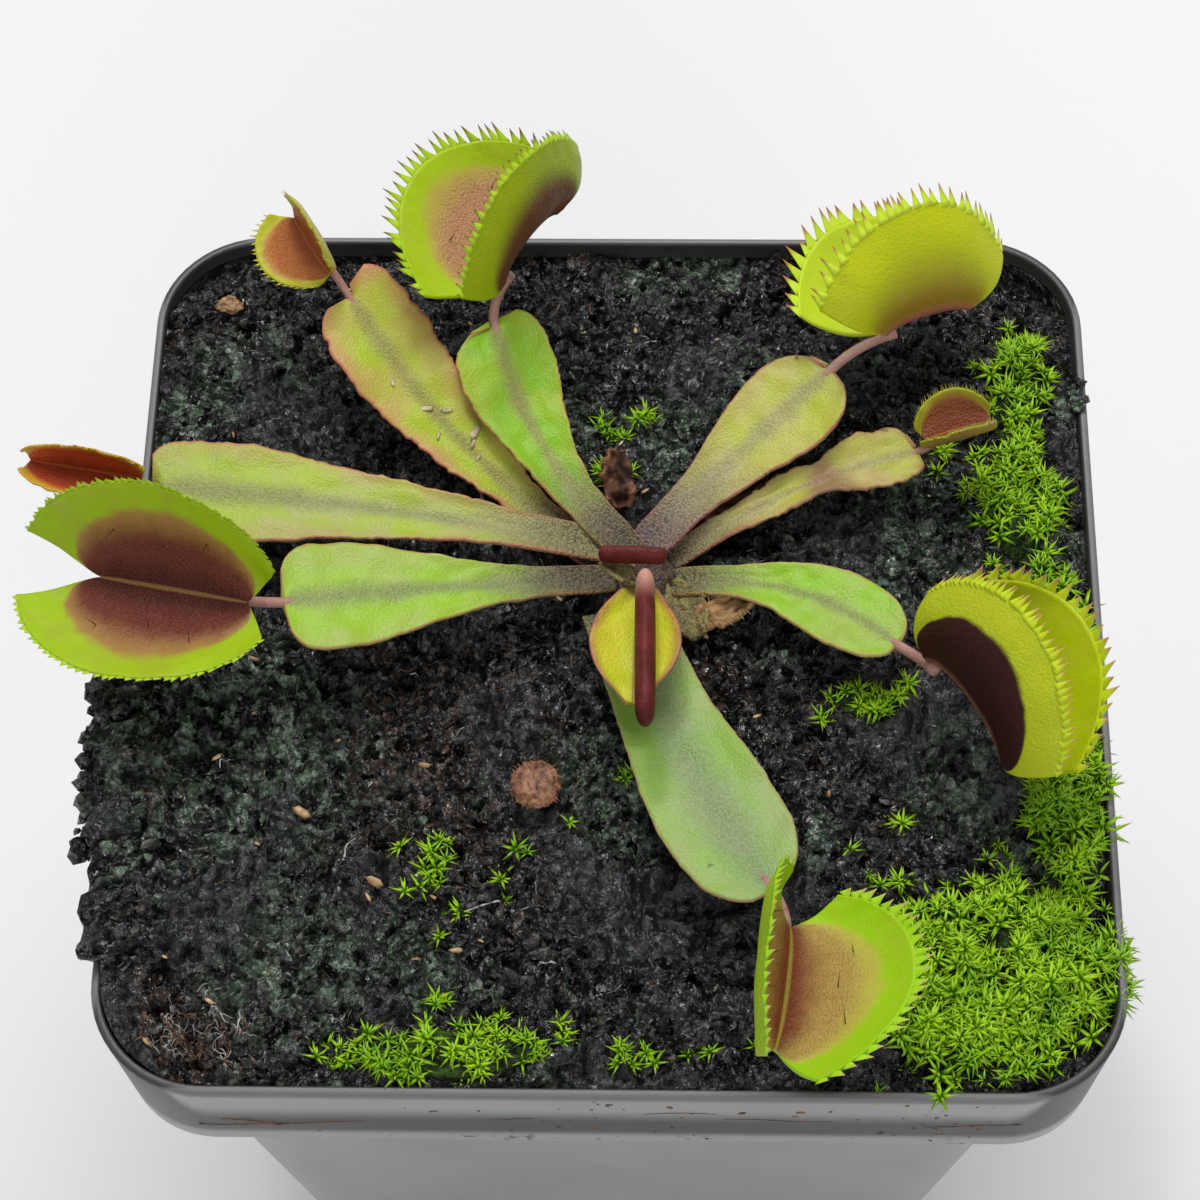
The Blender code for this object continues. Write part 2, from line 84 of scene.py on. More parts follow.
back = Vector(
    (
        math.sin(CAMERA_AZIMUTH) * math.cos(CAMERA_ELEVATION),
        -math.cos(CAMERA_AZIMUTH) * math.cos(CAMERA_ELEVATION),
        math.sin(CAMERA_ELEVATION),
    )
)
camera = bpy.data.objects.new("camera", bpy.data.cameras.new("camera"))
camera.data.lens = CAMERA_LENS
camera.data.sensor_width = 36
camera.data.clip_start, camera.data.clip_end = 0.01, 20
camera.rotation_mode = "QUATERNION"
turned = (-back).to_track_quat("-Z", "Y") @ Matrix.Rotation(CAMERA_ROLL, 3, "Z").to_quaternion()
camera.rotation_quaternion = turned
camera.location = CAMERA_TARGET + back * CAMERA_DISTANCE
bpy.context.scene.collection.objects.link(camera)
bpy.context.scene.camera = camera
print("camera stands at, in mm:", [round(c / MM, 1) for c in camera.location])

# %% [markdown]
# ## Light and background
# The plant is in a bright white tent: light comes softly from everywhere, a little stronger from above.
# One large lamp gives the soft shadows under the leaves, a small bright one gives the glints that show
# the peat is wet, and the pale surroundings fill in the rest.


# %% Lamps and surroundings
LAMP_AIM = Vector((0, 0, 0.08))


def soft_lamp(name, place, size, power):
    """A round lamp that looks at the middle of the plant."""
    lamp = bpy.data.lights.new(name, "AREA")
    lamp.shape = "DISK"
    lamp.size = size
    lamp.energy = power
    obj = bpy.data.objects.new(name, lamp)
    obj.location = place
    obj.rotation_mode = "QUATERNION"
    obj.rotation_quaternion = (LAMP_AIM - Vector(place)).to_track_quat("-Z", "Y")
    bpy.context.scene.collection.objects.link(obj)


soft_lamp("tent_top", (0.02, 0.52, 1.1), 0.8, 8.8)
soft_lamp("glint_lamp", (-0.15, 0.62, 1.05), 0.14, 2.4)
soft_lamp("front_fill", (0.15, -1.1, 0.55), 0.8, 3.6)

scene = bpy.context.scene
scene.view_settings.view_transform = "Standard"
scene.view_settings.look = "None"
world = bpy.data.worlds.new("pale_room")
world.use_nodes = True
world.node_tree.nodes["Background"].inputs["Color"].default_value = (0.93, 0.95, 1.0, 1)
world.node_tree.nodes["Background"].inputs["Strength"].default_value = 0.42
scene.world = world


# %% [markdown]
# ## Helpers for materials
# A material is a small drawing of nodes. These helpers place a node, wire what goes into it, and give
# back what comes out as a signal. Signals add and multiply like numbers, so that each finish below
# reads as a short recipe.


# %% Node helpers
class Signal:
    """What comes out of a node. Signals add and multiply like numbers, with a maths node for each step."""

    def __init__(self, socket):
        self.socket = socket

    def __add__(self, other):
        return maths("ADD", self, other)

    def __radd__(self, other):
        return maths("ADD", other, self)

    def __sub__(self, other):
        return maths("SUBTRACT", self, other)

    def __rsub__(self, other):
        return maths("SUBTRACT", other, self)

    def __mul__(self, other):
        return maths("MULTIPLY", self, other)

    def __truediv__(self, other):
        return maths("DIVIDE", self, other)

    def __rtruediv__(self, other):
        return maths("DIVIDE", other, self)

    def __pow__(self, other):
        return maths("POWER", self, other)

    def __abs__(self):
        return maths("ABSOLUTE", self)


class Outputs:
    """The outputs of a node, by number or name, each as a signal."""

    def __init__(self, sockets):
        self.sockets = sockets

    def __getitem__(self, key):
        return Signal(self.sockets[key])


def feed(made, inputs):
    """Gives a node its inputs: a signal is linked, and anything else is set as a value."""
    for key, value in inputs.items():
        if isinstance(value, Signal):
            made.id_data.links.new(value.socket, made.inputs[key])
        else:
            flat_colour = isinstance(value, tuple) and len(made.inputs[key].default_value) > len(value)
            made.inputs[key].default_value = (*value, 1) if flat_colour else value
    return Outputs(made.outputs)


def tree_of(inputs):
    return next(value.socket.id_data for value in inputs.values() if isinstance(value, Signal))


def node(kind, inputs, **settings):
    """A new node fed by these inputs, and its outputs."""
    made = tree_of(inputs).nodes.new(kind)
    for key, value in settings.items():
        setattr(made, key, value)
    return feed(made, inputs)


def wire(value, target, label):
    target.id_data.links.new(value.socket, target.inputs[label])


def maths(kind, a, b=0.0, clamp=False):
    return node("ShaderNodeMath", {0: a, 1: b}, operation=kind, use_clamp=clamp)[0]


def vector_maths(kind, a, b):
    return node("ShaderNodeVectorMath", {0: a, 1: b}, operation=kind)


def coordinates(place):
    return node("ShaderNodeSeparateXYZ", {0: place})


def mix(factor, a, b, kind="MIX"):
    return node("ShaderNodeMix", {0: factor, 6: a, 7: b}, data_type="RGBA", blend_type=kind)[2]


def step(value, low, high, start=0.0, end=1.0):
    """Rises smoothly from start to end while the value goes from low to high."""
    inputs = {"Value": value, "From Min": low, "From Max": high, "To Min": start, "To Max": end}
    return node("ShaderNodeMapRange", inputs, interpolation_type="SMOOTHSTEP")[0]


def clouds(where, scale, detail=3.0, rough=0.55, warp=0.0):
    inputs = {"Vector": where, "Scale": scale, "Detail": detail, "Roughness": rough, "Distortion": warp}
    return node("ShaderNodeTexNoise", inputs)["Fac"]


def new_group(name, inputs, outputs):
    """An empty shader group with named sockets: its inputs as signals, and its output node."""
    tree = bpy.data.node_groups.new(name, "ShaderNodeTree")
    kinds = {tuple: "NodeSocketColor", float: "NodeSocketFloat", str: "NodeSocketVector"}
    for label, value in inputs.items():
        socket = tree.interface.new_socket(label, in_out="INPUT", socket_type=kinds[type(value)])
        if not isinstance(value, str):
            socket.default_value = (*value, 1) if isinstance(value, tuple) else value
    for label, kind in outputs.items():
        tree.interface.new_socket(label, in_out="OUTPUT", socket_type=kinds[kind])
    return Outputs(tree.nodes.new("NodeGroupInput").outputs), tree.nodes.new("NodeGroupOutput")


def use_group(group, inputs):
    made = tree_of(inputs).nodes.new("ShaderNodeGroup")
    made.node_tree = bpy.data.node_groups[group]
    return feed(made, inputs)


def new_material(name, roughness=0.5, gloss=0.5):
    """(material, principled shader, place on the object, place on the piece's own map)"""
    made = bpy.data.materials.new(name)
    made.use_nodes = True
    shader = made.node_tree.nodes["Principled BSDF"]
    shader.inputs["Roughness"].default_value = roughness
    shader.inputs["Specular IOR Level"].default_value = gloss
    places = Outputs(made.node_tree.nodes.new("ShaderNodeTexCoord").outputs)
    return made, shader, places["Object"], places["UV"]


def measured(shader, name):
    """A measure that the mesh carries at its points, as a signal for this shader."""
    made = shader.id_data.nodes.new("ShaderNodeAttribute")
    made.attribute_name = name
    return Signal(made.outputs["Fac"])


def relief(shader, height, distance, strength=1.0):
    """Raises the surface by a height of 0 to 1 times the distance."""
    bump = node("ShaderNodeBump", {"Height": height, "Distance": distance, "Strength": strength})
    wire(bump["Normal"], shader, "Normal")


# %% [markdown]
# ## Skin that all the leaves share
# Close up, a flytrap's skin is pebbled: it is covered in glands a quarter of a millimetre apart, and
# they are darker towards the midrib. One group makes the pebbles, and each leaf and trap uses it with
# its own size and strength.

# %% Pebbled skin
at, out = new_group(
    "pebbled_skin", {"Where": "", "Scale": 4200.0, "Amount": 0.5}, {"Shade": float, "Height": float}
)
bead = node("ShaderNodeTexVoronoi", {"Vector": at["Where"], "Scale": at["Scale"]})["Distance"]
dot = step(bead, 0.5, 0.14)
# Painted shade: the creases between the glands are painted darker.
crease_shade = step(bead, 0.42, 0.72) * (at["Amount"] * at["Amount"])
patchy = clouds(at["Where"], at["Scale"] * 0.16, 4.0, 0.65)
dark = dot * step(patchy, 0.28, 0.62, 0.25, 1.0) * (at["Amount"] * 0.75) + crease_shade * 0.7
wire(maths("SUBTRACT", 1.0, dark, clamp=True), out, "Shade")
wire(1.0 - bead, out, "Height")


def pebbled_coat(shader, where, colour, ground, scale, amount, depth, strength):
    """Gives a finish this colour and its pebbles. ground is the height that they stand on."""
    beads = use_group("pebbled_skin", {"Where": where, "Scale": scale, "Amount": amount})
    wire(mix(1.0, colour, beads["Shade"], "MULTIPLY"), shader, "Base Color")
    relief(shader, beads["Height"] + ground, depth, strength)


# %% [markdown]
# ## Helpers for shapes
# Leaves, lobes and scraps are all thin sheets. A flat grid is made first, each of its points is moved
# by a formula to its place on the plant, and Solidify gives the sheet its thickness. The grid's own map
# stays on it, so a material knows how far along and how far across the leaf it is. Stems, hairs and
# teeth are all rods, made from a cylinder that is cut along its length and bent.


# %% Sheets and rods
def smooth(x):
    x = min(max(x, 0.0), 1.0)
    return x * x * (3 - 2 * x)


def sheet(along, across, place, weight=None):
    """A grid moved by place(v, side), in millimetres. weight(v, side) is its relative thickness."""
    bm = bmesh.new()
    bm.loops.layers.uv.new("UVMap")
    bmesh.ops.create_grid(bm, x_segments=along, y_segments=across, size=1, calc_uvs=True)
    thickness = bm.verts.layers.deform.verify()
    for vert in bm.verts:
        v, side = (vert.co.x + 1) / 2, vert.co.y
        vert[thickness][0] = weight(v, side) if weight else 1.0
        vert.co = place(v, side) * MM
    return bm


def thinner(share, power=1.0):
    """A weight for sheet(): its edges are thinner than its middle by this share."""
    return lambda v, side: 1 - share * abs(side) ** power


def thicken(bm, thickness, back_slot=0):
    """The sheet as a closed skin. It grows away from its upper side, which keeps material slot 0."""
    mesh = bpy.data.meshes.new("sheet")
    bm.to_mesh(mesh)
    bm.free()
    obj = bpy.data.objects.new("sheet", mesh)
    bpy.context.scene.collection.objects.link(obj)
    obj.vertex_groups.new(name="thickness")
    for _ in range(back_slot + 1):
        mesh.materials.append(None)
    skin = obj.modifiers.new("skin", "SOLIDIFY")
    skin.thickness, skin.offset = thickness * MM, -1
    skin.vertex_group = "thickness"
    skin.material_offset = back_slot
    solid = bmesh.new()
    solid.from_object(obj, bpy.context.evaluated_depsgraph_get())
    bpy.data.objects.remove(obj)
    bpy.data.meshes.remove(mesh)
    return solid


def rod(path, radius, sides=8, cuts=6, flat=1.0, slot=0):
    """A rod along path(k), in millimetres, for k from 0 to 1. radius(k) is its half width."""
    bm = bmesh.new()
    uv = bm.loops.layers.uv.new("UVMap")
    bm.verts.layers.deform.verify()
    bmesh.ops.create_cone(
        bm, cap_ends=True, cap_tris=True, segments=sides, radius1=1, radius2=1, depth=1, calc_uvs=True
    )
    long_edges = [e for e in bm.edges if abs(e.verts[0].co.z - e.verts[1].co.z) > 0.5]
    bmesh.ops.subdivide_edges(bm, edges=long_edges, cuts=cuts)
    for face in bm.faces:
        face.material_index = slot
        for loop in face.loops:
            loop[uv].uv = (loop.vert.co.z + 0.5, 0.5)
    for vert in bm.verts:
        k = vert.co.z + 0.5
        ahead = (path(min(k + 0.02, 1)) - path(max(k - 0.02, 0))).normalized()
        aside = ahead.cross(UP if abs(ahead.z) < 0.95 else Vector((0, 1, 0))).normalized()
        lift = aside.cross(ahead)
        vert.co = (path(k) + (aside * vert.co.x + lift * vert.co.y * flat) * radius(k)) * MM
    bmesh.ops.recalc_face_normals(bm, faces=bm.faces)
    return bm


def template(bm):
    """Keeps a small shape as a mesh that can be stamped many times."""
    mesh = bpy.data.meshes.new("template")
    bm.to_mesh(mesh)
    bm.free()
    return mesh


def stamp(bm, shape, pose):
    """Adds a copy of a template, placed by the matrix."""
    copy = shape.copy()
    copy.transform(pose)
    bm.from_mesh(copy)
    bpy.data.meshes.remove(copy)


def join(bm, small):
    shape = template(small)
    bm.from_mesh(shape)
    bpy.data.meshes.remove(shape)


def pose_of(place, ahead, up, scale=(1.0, 1.0, 1.0)):
    """A matrix that sets a shape down at a place, its Z along ahead and its Y towards up."""
    z = ahead.normalized()
    x = up.cross(z).normalized()
    y = z.cross(x)
    turn = Matrix((x * scale[0], y * scale[1], z * scale[2])).transposed().to_4x4()
    return Matrix.Translation(place) @ turn


def piece(name, bm, materials, replaces=()):
    """Turns a bmesh into a finished object that rides on the plant's body."""
    for face in bm.faces:
        face.smooth = True
    mesh = bpy.data.meshes.new(name)
    bm.to_mesh(mesh)
    bm.free()
    for finish in materials:
        mesh.materials.append(finish)
    obj = bpy.data.objects.new(name, mesh)
    bpy.context.scene.collection.objects.link(obj)
    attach(obj, "root")
    if replaces:
        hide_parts(*replaces)
    mesh.calc_loop_triangles()
    print(name, "triangles:", len(mesh.loop_triangles))
    return obj


# %% [markdown]
# ## The pot
# A square nursery pot is thin pressed plastic: a tapered body, a deep smooth band under the rim, and
# round corners that open out towards the top. It could be cut from a block, but it is made here as the
# tool that presses it works: one rounded outline at each height, bridged into a skin, and then given
# its wall. A small bevel softens every edge, because plastic never has a sharp one.

# %% Sizes of the pot
pot_low, pot_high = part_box("pot")
RIM_Z = pot_high.z
RIM_SIDE = pot_high.x - pot_low.x
WALL = 0.8 * MM
RIM_CORNER = 9.8 * MM
BAND_FOOT_Z = RIM_Z - 13.5 * MM
BAND_FOOT_SIDE = 82.4 * MM
# Each outline from the foot up: height, side, corner radius.
OUTLINES = [
    (0.0, 57.6 * MM, 6.8 * MM),
    (1.2 * MM, 60.0 * MM, 8.0 * MM),
    (BAND_FOOT_Z, 76.0 * MM, 8.0 * MM),
    (BAND_FOOT_Z, BAND_FOOT_SIDE, 8.2 * MM),
    (RIM_Z - 1.3 * MM, 84.7 * MM, 9.6 * MM),
    (RIM_Z, RIM_SIDE, RIM_CORNER),
]
print("rim side and height in mm:", round(RIM_SIDE / MM, 2), round(RIM_Z / MM, 2))


# %% Press the pot
def outline(bm, z, side, radius):
    """Edges of a square with round corners, lying at height z."""
    made = bmesh.ops.create_grid(bm, x_segments=1, y_segments=1, size=side / 2)
    corners = made["verts"]
    bmesh.ops.translate(bm, vec=(0, 0, z), verts=corners)
    before = set(bm.edges) - {e for v in corners for e in v.link_edges}
    bmesh.ops.bevel(
        bm, geom=corners, offset=radius, affect="VERTICES", segments=14, profile=0.5, material=-1
    )
    ring = [e for e in bm.edges if e not in before]
    flat = {f for e in ring for f in e.link_faces}
    bmesh.ops.delete(bm, geom=list(flat), context="FACES_ONLY")
    return ring


bm = bmesh.new()
rings = [outline(bm, *sizes) for sizes in OUTLINES]
for lower, upper in zip(rings, rings[1:]):
    bmesh.ops.bridge_loops(bm, edges=lower + upper)
bmesh.ops.holes_fill(bm, edges=rings[0], sides=0)
bmesh.ops.recalc_face_normals(bm, faces=bm.faces)
mesh = bpy.data.meshes.new("pot_skin")
bm.to_mesh(mesh)
bm.free()
skin = bpy.data.objects.new("pot_skin", mesh)
scene.collection.objects.link(skin)
wall = skin.modifiers.new("wall", "SOLIDIFY")
wall.thickness, wall.offset, wall.use_even_offset = WALL, -1, True
DRAIN_RADIUS, DRAIN_OFFSET = 3.5 * MM, 17 * MM
drills = []
for sx, sy in ((1, 1), (-1, 1), (-1, -1), (1, -1)):
    bm = bmesh.new()
    bmesh.ops.create_cone(
        bm, cap_ends=True, segments=40, radius1=DRAIN_RADIUS, radius2=DRAIN_RADIUS, depth=8 * MM
    )
    mesh = bpy.data.meshes.new("drill")
    bmesh.ops.translate(bm, vec=(sx * DRAIN_OFFSET, sy * DRAIN_OFFSET, 0), verts=bm.verts)
    bm.to_mesh(mesh)
    bm.free()
    drills.append(bpy.data.objects.new("drill", mesh))
    scene.collection.objects.link(drills[-1])
    cut = skin.modifiers.new("drain", "BOOLEAN")
    cut.operation, cut.solver, cut.object = "DIFFERENCE", "EXACT", drills[-1]
soft = skin.modifiers.new("soft_edges", "BEVEL")
soft.width, soft.segments, soft.limit_method, soft.angle_limit = 0.3 * MM, 3, "ANGLE", math.radians(40)
bm = bmesh.new()
bm.from_object(skin, bpy.context.evaluated_depsgraph_get())
for helper in (skin, *drills):
    bpy.data.objects.remove(helper)

# %% [markdown]
# ### Grey plastic, a little dirty
# The plastic is a mid grey with a satin shine. Splashed peat has dried on it in specks, thickest under the
# rim. Inside the rim the wall is painted near black, partly as painted shade and partly as wet peat, and the
# top of the rim is darker. The grime is a group of its own.

# %% Grime group
at, out = new_group(
    "splashed_grime", {"Where": "", "Amount": 0.5, "Scale": 900.0}, {"Mask": float, "Haze": float}
)
specks = clouds(at["Where"], at["Scale"], 5.0, 0.65)
drifts = clouds(at["Where"], at["Scale"] * 0.12, 4.0, 0.6)
edge = 0.84 - at["Amount"] * 0.3
both = specks * 0.6 + drifts * 0.5
wire(step(both, edge, edge + 0.05), out, "Mask")
wire(step(drifts, 0.35, 0.7), out, "Haze")

# %% Pot plastic
pot_plastic, shader, where, _ = new_material("grey_pot_plastic", 0.42, 0.5)
spot = coordinates(where)
far_x = abs(spot[0])
far_y = abs(spot[1])
reach = maths("MAXIMUM", far_x, far_y)
inside = step(reach, 42.15 * MM, 41.75 * MM) * step(spot[2], 68 * MM, 70 * MM)
grime = use_group("splashed_grime", {"Where": where, "Amount": 0.36, "Scale": 1900.0})
low_line = step(spot[2], 69.5 * MM, 67.4 * MM) * step(spot[2], 66.2 * MM, 66.6 * MM)
extra = use_group("splashed_grime", {"Where": where, "Amount": 0.75, "Scale": 800.0})
mottle = clouds(where, 60.0, 5.0, 0.6)
colour = mix(step(mottle, 0.3, 0.7), (0.29, 0.288, 0.281), (0.33, 0.328, 0.32))
colour = mix(grime["Haze"] * 0.25, colour, (0.36, 0.35, 0.325))
# The top of the rim is darker.
darker_rim_top = step(spot[2], 78.6 * MM, 79.5 * MM)
colour = mix(darker_rim_top * 0.75, colour, (0.095, 0.095, 0.092))
colour = mix(grime["Mask"] * 0.85, colour, (0.045, 0.035, 0.028))
line = extra["Mask"] * low_line * 0.8
colour = mix(line, colour, (0.05, 0.035, 0.025))
# Painted shade: the inner wall above the peat is painted near black, partly as shade and partly as wet peat.
colour = mix(inside * 0.88, colour, (0.022, 0.021, 0.02))
wire(colour, shader, "Base Color")
rough = 0.34 + mottle * 0.2
rough = maths("ADD", rough, grime["Mask"] * 0.35, clamp=True)
wire(rough, shader, "Roughness")
skin_grain = clouds(where, 5200.0, 3.0, 0.6)
relief(shader, skin_grain + grime["Mask"] * 1.5, 0.05 * MM, 0.5)

piece("pot_shell", bm, [pot_plastic], ["pot"])

# %% [markdown]
# ## The peat
# The pot is heaped with fine wet peat: black, granular, shining where water stands on it, smoother
# where a film of algae has grown over it, and crusted over the left of the rim. A fine grid is laid
# over the rounded square and every point is lifted by layers of noise: broad lumps, then grains of
# about a millimetre, then fine grains. The outline is drawn down inside the pot to close the plug.


# %% Height of the peat
def soil_height(x, y):
    """Height of the soil in the frame: high in the middle and on the left, lower behind and at the right."""
    u, v = x / (RIM_SIDE / 2), y / (RIM_SIDE / 2)
    left = smooth((-u - 0.55) / 0.35) * smooth((0.35 - v) / 0.5) * smooth((v + 0.95) / 0.3)
    level = 0.2 - 2.4 * smooth((abs(v) - 0.6) / 0.4) * (1 if v > 0 else 0.5) - 1.2 * smooth((u - 0.6) / 0.4)
    mound = 1.0 * math.exp(-((u - 0.05) ** 2 + (v - 0.1) ** 2) / 0.12)
    lumps = 0.35 * math.sin(7 * u + 2 * v) * math.cos(6 * v - 3 * u) + 0.2 * math.sin(13 * u - 5 * v + 1)
    return RIM_Z + (level + mound + lumps + 3.0 * left) * MM


# Centre, amount and spread, in square millimetres, of the wet films.
FILM = ((27, -13, 0.55, 130), (2, -27, 0.5, 40), (-26, 17, 0.5, 90))


def film(x, y):
    """0 to 1: how far a smooth film covers the grains here."""
    cover = noise.noise(Vector((x, y, 3.0)) / 9.0)
    for sx, sy, amount, spread in FILM:
        cover += amount * math.exp(-((x - sx) ** 2 + (y - sy) ** 2) / spread)
    return smooth((cover - 0.15) / 0.3)


# Centre and radius, in millimetres, of what grows on the peat or lies in it.
ALGAE = ((-31, -13, 11), (-27, -31, 7), (0, -16, 7), (26, 10, 8), (31, -13, 7), (-33, 27, 6), (10, 25, 6))
BARK = ((-13, -13, 10), (6, -6, 6), (-36, -38, 6))


def nearness(spots, x, y):
    """0 to 1: how deep a place is inside the nearest of these round patches."""
    return max(smooth(1.6 - 1.2 * math.hypot(x - sx, y - sy) / radius) for sx, sy, radius in spots)


def grains(x, y):
    """Height in millimetres that the crumbs of peat add at a place given in millimetres."""
    p = Vector((x, y, 0))
    cover = film(x, y)
    crust = smooth((-x - 31) / 6) * smooth((12 - y) / 8)
    broad = noise.fractal(p / 5.0, 0.8, 2.0, 4) * (1.0 + 0.7 * crust)
    warped = p + noise.noise_vector(p / 0.9) * 0.45
    near, _ = noise.voronoi(warped / 1.4)
    small, _ = noise.voronoi(warped / 0.6 + Vector((7, 3, 1)))
    crumbs = 1.5 * (0.5 - near[0]) * (1 - 0.6 * cover) * (1 + 0.6 * crust)
    fine = 0.6 * (0.5 - small[0]) * (1 - 0.75 * cover)
    pits = -1.3 * smooth((noise.noise(p / 1.5 + Vector((4, 4, 4))) - 0.2) / 0.25) * (1 - 0.5 * cover)
    folds = 1.9 * cover * (abs(noise.noise(p / 2.6 + Vector((0, 9, 4)))) - abs(noise.noise(p / 0.9)) * 0.3)
    return 0.25 + broad + crumbs + fine + pits + folds


def rounded(x, y, half, radius):
    """Pulls the corner of a square of this half side in to its corner radius. x and y run from -1 to 1."""
    far = max(abs(x), abs(y))
    if far < 1e-6:
        return 0.0, 0.0
    bx, by = x / far * half, y / far * half
    past = Vector((max(abs(bx) - (half - radius), 0), max(abs(by) - (half - radius), 0)))
    share = 1.0
    if min(past) > 0:
        low, high = 0.7, 1.0
        for _ in range(18):
            share = (low + high) / 2
            corner = Vector((abs(bx) * share - (half - radius), abs(by) * share - (half - radius)))
            inside_it = min(corner) < 0 or corner.length < radius
            low, high = (share, high) if inside_it else (low, share)
    share = 1 - (1 - share) * far**3
    return x * half * share, y * half * share


# %% Lay the peat
PEAT_HALF = RIM_SIDE / 2 - WALL - 0.15 * MM
# Height of each ring below the surface, and its width as a share of the plug's. The first hangs free.
PLUG_RINGS = (
    (None, None),
    (RIM_Z - 1.5 * MM, 1.0),
    (BAND_FOOT_Z + 1.6 * MM, 0.955),
    (BAND_FOOT_Z + 1.5 * MM, 0.87),
    (1.6 * MM, 0.66),
)
GRID = 300
bm = bmesh.new()
bmesh.ops.create_grid(bm, x_segments=GRID, y_segments=GRID, size=1)
wetness, algae, barky = (bm.verts.layers.float.new(name) for name in ("wetness", "algae", "barky"))
for vert in bm.verts:
    far = max(abs(vert.co.x), abs(vert.co.y))
    x, y = rounded(vert.co.x, vert.co.y, PEAT_HALF, RIM_CORNER - WALL)
    z = soil_height(x, y)
    over = 1.9 * smooth((z - RIM_Z - 2.0 * MM) / (0.6 * MM)) * smooth((far - 0.93) / 0.07)
    ragged = 1 + 0.55 * noise.noise(Vector((x, y, 0)) / (1.7 * MM))
    lift = grains(x / MM, y / MM) * MM * (1 - 0.5 * smooth((far - 0.95) / 0.05))
    push = 1 + over * ragged * MM / max(PEAT_HALF * far, 1e-6)
    vert.co = Vector((x * push, y * push, z + lift))
    vert[wetness] = film(x / MM, y / MM)
    vert[algae] = nearness(ALGAE, x / MM, y / MM)
    vert[barky] = nearness(BARK, x / MM, y / MM)
rim_edges = [e for e in bm.edges if e.is_boundary]
# Drawn down: under the overhang, then down inside the band, in at the ledge, and to the pot's floor.
reached = None
for height, share in PLUG_RINGS:
    made = bmesh.ops.extrude_edge_only(bm, edges=rim_edges)["geom"]
    lower = [g for g in made if isinstance(g, bmesh.types.BMVert)]
    rim_edges = [g for g in made if isinstance(g, bmesh.types.BMEdge)]
    for vert in lower:
        if height is None:
            vert.co.z = max(min(vert.co.z - 0.8 * MM, RIM_Z + 1.2 * MM), RIM_Z - 1.4 * MM)
            continue
        fit = share / reached if reached else min(PEAT_HALF / max(abs(vert.co.x), abs(vert.co.y)), 1)
        vert.co = Vector((vert.co.x * fit, vert.co.y * fit, height))
    reached = share
bmesh.ops.holes_fill(bm, edges=rim_edges, sides=0)
bmesh.ops.recalc_face_normals(bm, faces=bm.faces)

# %% [markdown]
# ### Wet peat
# Wet peat is nearly black, but no two crumbs are alike: some are brown bark, some grey, and algae tints
# the damp hollows a dark green. Water fills the low places and gives sharp glints, so the shine changes
# from crumb to crumb. The browner, drier patch lies at the front left.

# %% Flakes and peat material
at, out = new_group(
    "tilted_flakes", {"Where": "", "Scale": 1500.0, "Tilt": 1.0},
    {"Height": float, "Tone": float, "Rim": float},
)
wobble = node("ShaderNodeTexNoise", {"Vector": at["Where"], "Scale": at["Scale"] * 0.8, "Detail": 3.0})
bent = vector_maths("SUBTRACT", wobble["Color"], (0.5, 0.5, 0.5))[0]
bent = vector_maths("MULTIPLY", bent, 1.3 / at["Scale"])[0]
bent = vector_maths("ADD", at["Where"], bent)[0]
flake = node("ShaderNodeTexVoronoi", {"Vector": bent, "Scale": at["Scale"]})
off = vector_maths("SUBTRACT", bent, flake["Position"])[0]
way = vector_maths("SUBTRACT", flake["Color"], (0.5, 0.5, 0.5))[0]
slope = vector_maths("DOT_PRODUCT", off, way)["Value"]
wire(slope * at["Tilt"], out, "Height")
wire(node("ShaderNodeSeparateColor", {0: flake["Color"]})[1], out, "Tone")
wire(step(flake["Distance"], 0.46, 0.8), out, "Rim")


def peat_finish(name, dark, pale, dullness):
    """Wet peat: the two ends of its colour, and how dull it has dried."""
    made, shader, where, _ = new_material(name, 0.4, 0.75)
    wet, algae_here, bark_here = (measured(shader, layer) for layer in ("wetness", "algae", "barky"))
    rough_part = 1.0 - wet * 0.7
    large = use_group("tilted_flakes", {"Where": where, "Scale": 850.0, "Tilt": 2.6})
    small = use_group("tilted_flakes", {"Where": where, "Scale": 1750.0, "Tilt": 2.2})
    broad = clouds(where, 75.0, 5.0, 0.65)
    medium = clouds(where, 620.0, 5.0, 0.7, 0.8)
    fine = clouds(where, 2900.0, 4.0, 0.7, 0.5)
    tone = large["Tone"] * 0.55 + small["Tone"] * 0.6
    colour = mix(step(tone, 0.45, 1.05), dark, pale)
    brown = maths("MAXIMUM", bark_here, step(broad, 0.56, 0.66)) * step(small["Tone"], 0.45, 0.75)
    colour = mix(brown * 0.85, colour, (0.115, 0.066, 0.048))
    green = maths("MAXIMUM", algae_here, step(broad, 0.46, 0.4)) * step(large["Tone"] * medium, 0.1, 0.36)
    green = green * (1.0 - wet * 0.6)
    colour = mix(green * 0.95, colour, (0.19, 0.27, 0.18))
    flecks = step(fine, 0.58, 0.66) * step(medium, 0.46, 0.58)
    flecks = flecks * (1.0 - wet)
    colour = mix(flecks * 0.8, colour, (0.2, 0.185, 0.155))
    # Painted shade: the gaps between the flakes sink a little and are painted near black, with less shine.
    shaded_gaps = maths("MAXIMUM", large["Rim"], small["Rim"] * 0.85) * rough_part
    wire(0.95 - (shaded_gaps * 0.35 + wet * 0.35), shader, "Specular IOR Level")
    colour = mix(wet * 0.85, colour, (0.01, 0.0105, 0.011))
    colour = mix(shaded_gaps * 0.75, colour, (0.0008, 0.0008, 0.0008))
    wire(colour, shader, "Base Color")
    dull = step(clouds(where, 360.0, 4.0, 0.65), 0.38, 0.66, 0.07 + dullness, 0.3 + dullness)
    dull = dull * (1.0 - wet * 0.6)
    wire(maths("ADD", dull, shaded_gaps * 0.3, clamp=True), shader, "Roughness")
    grain = medium * (0.4 * MM) + fine * (0.05 * MM)
    flaky = (large["Height"] + small["Height"]) * rough_part
    grain = grain - shaded_gaps * (0.07 * MM)
    relief(shader, (grain + flaky) / (1.0 * MM), 1.0 * MM, 1.0)
    return made


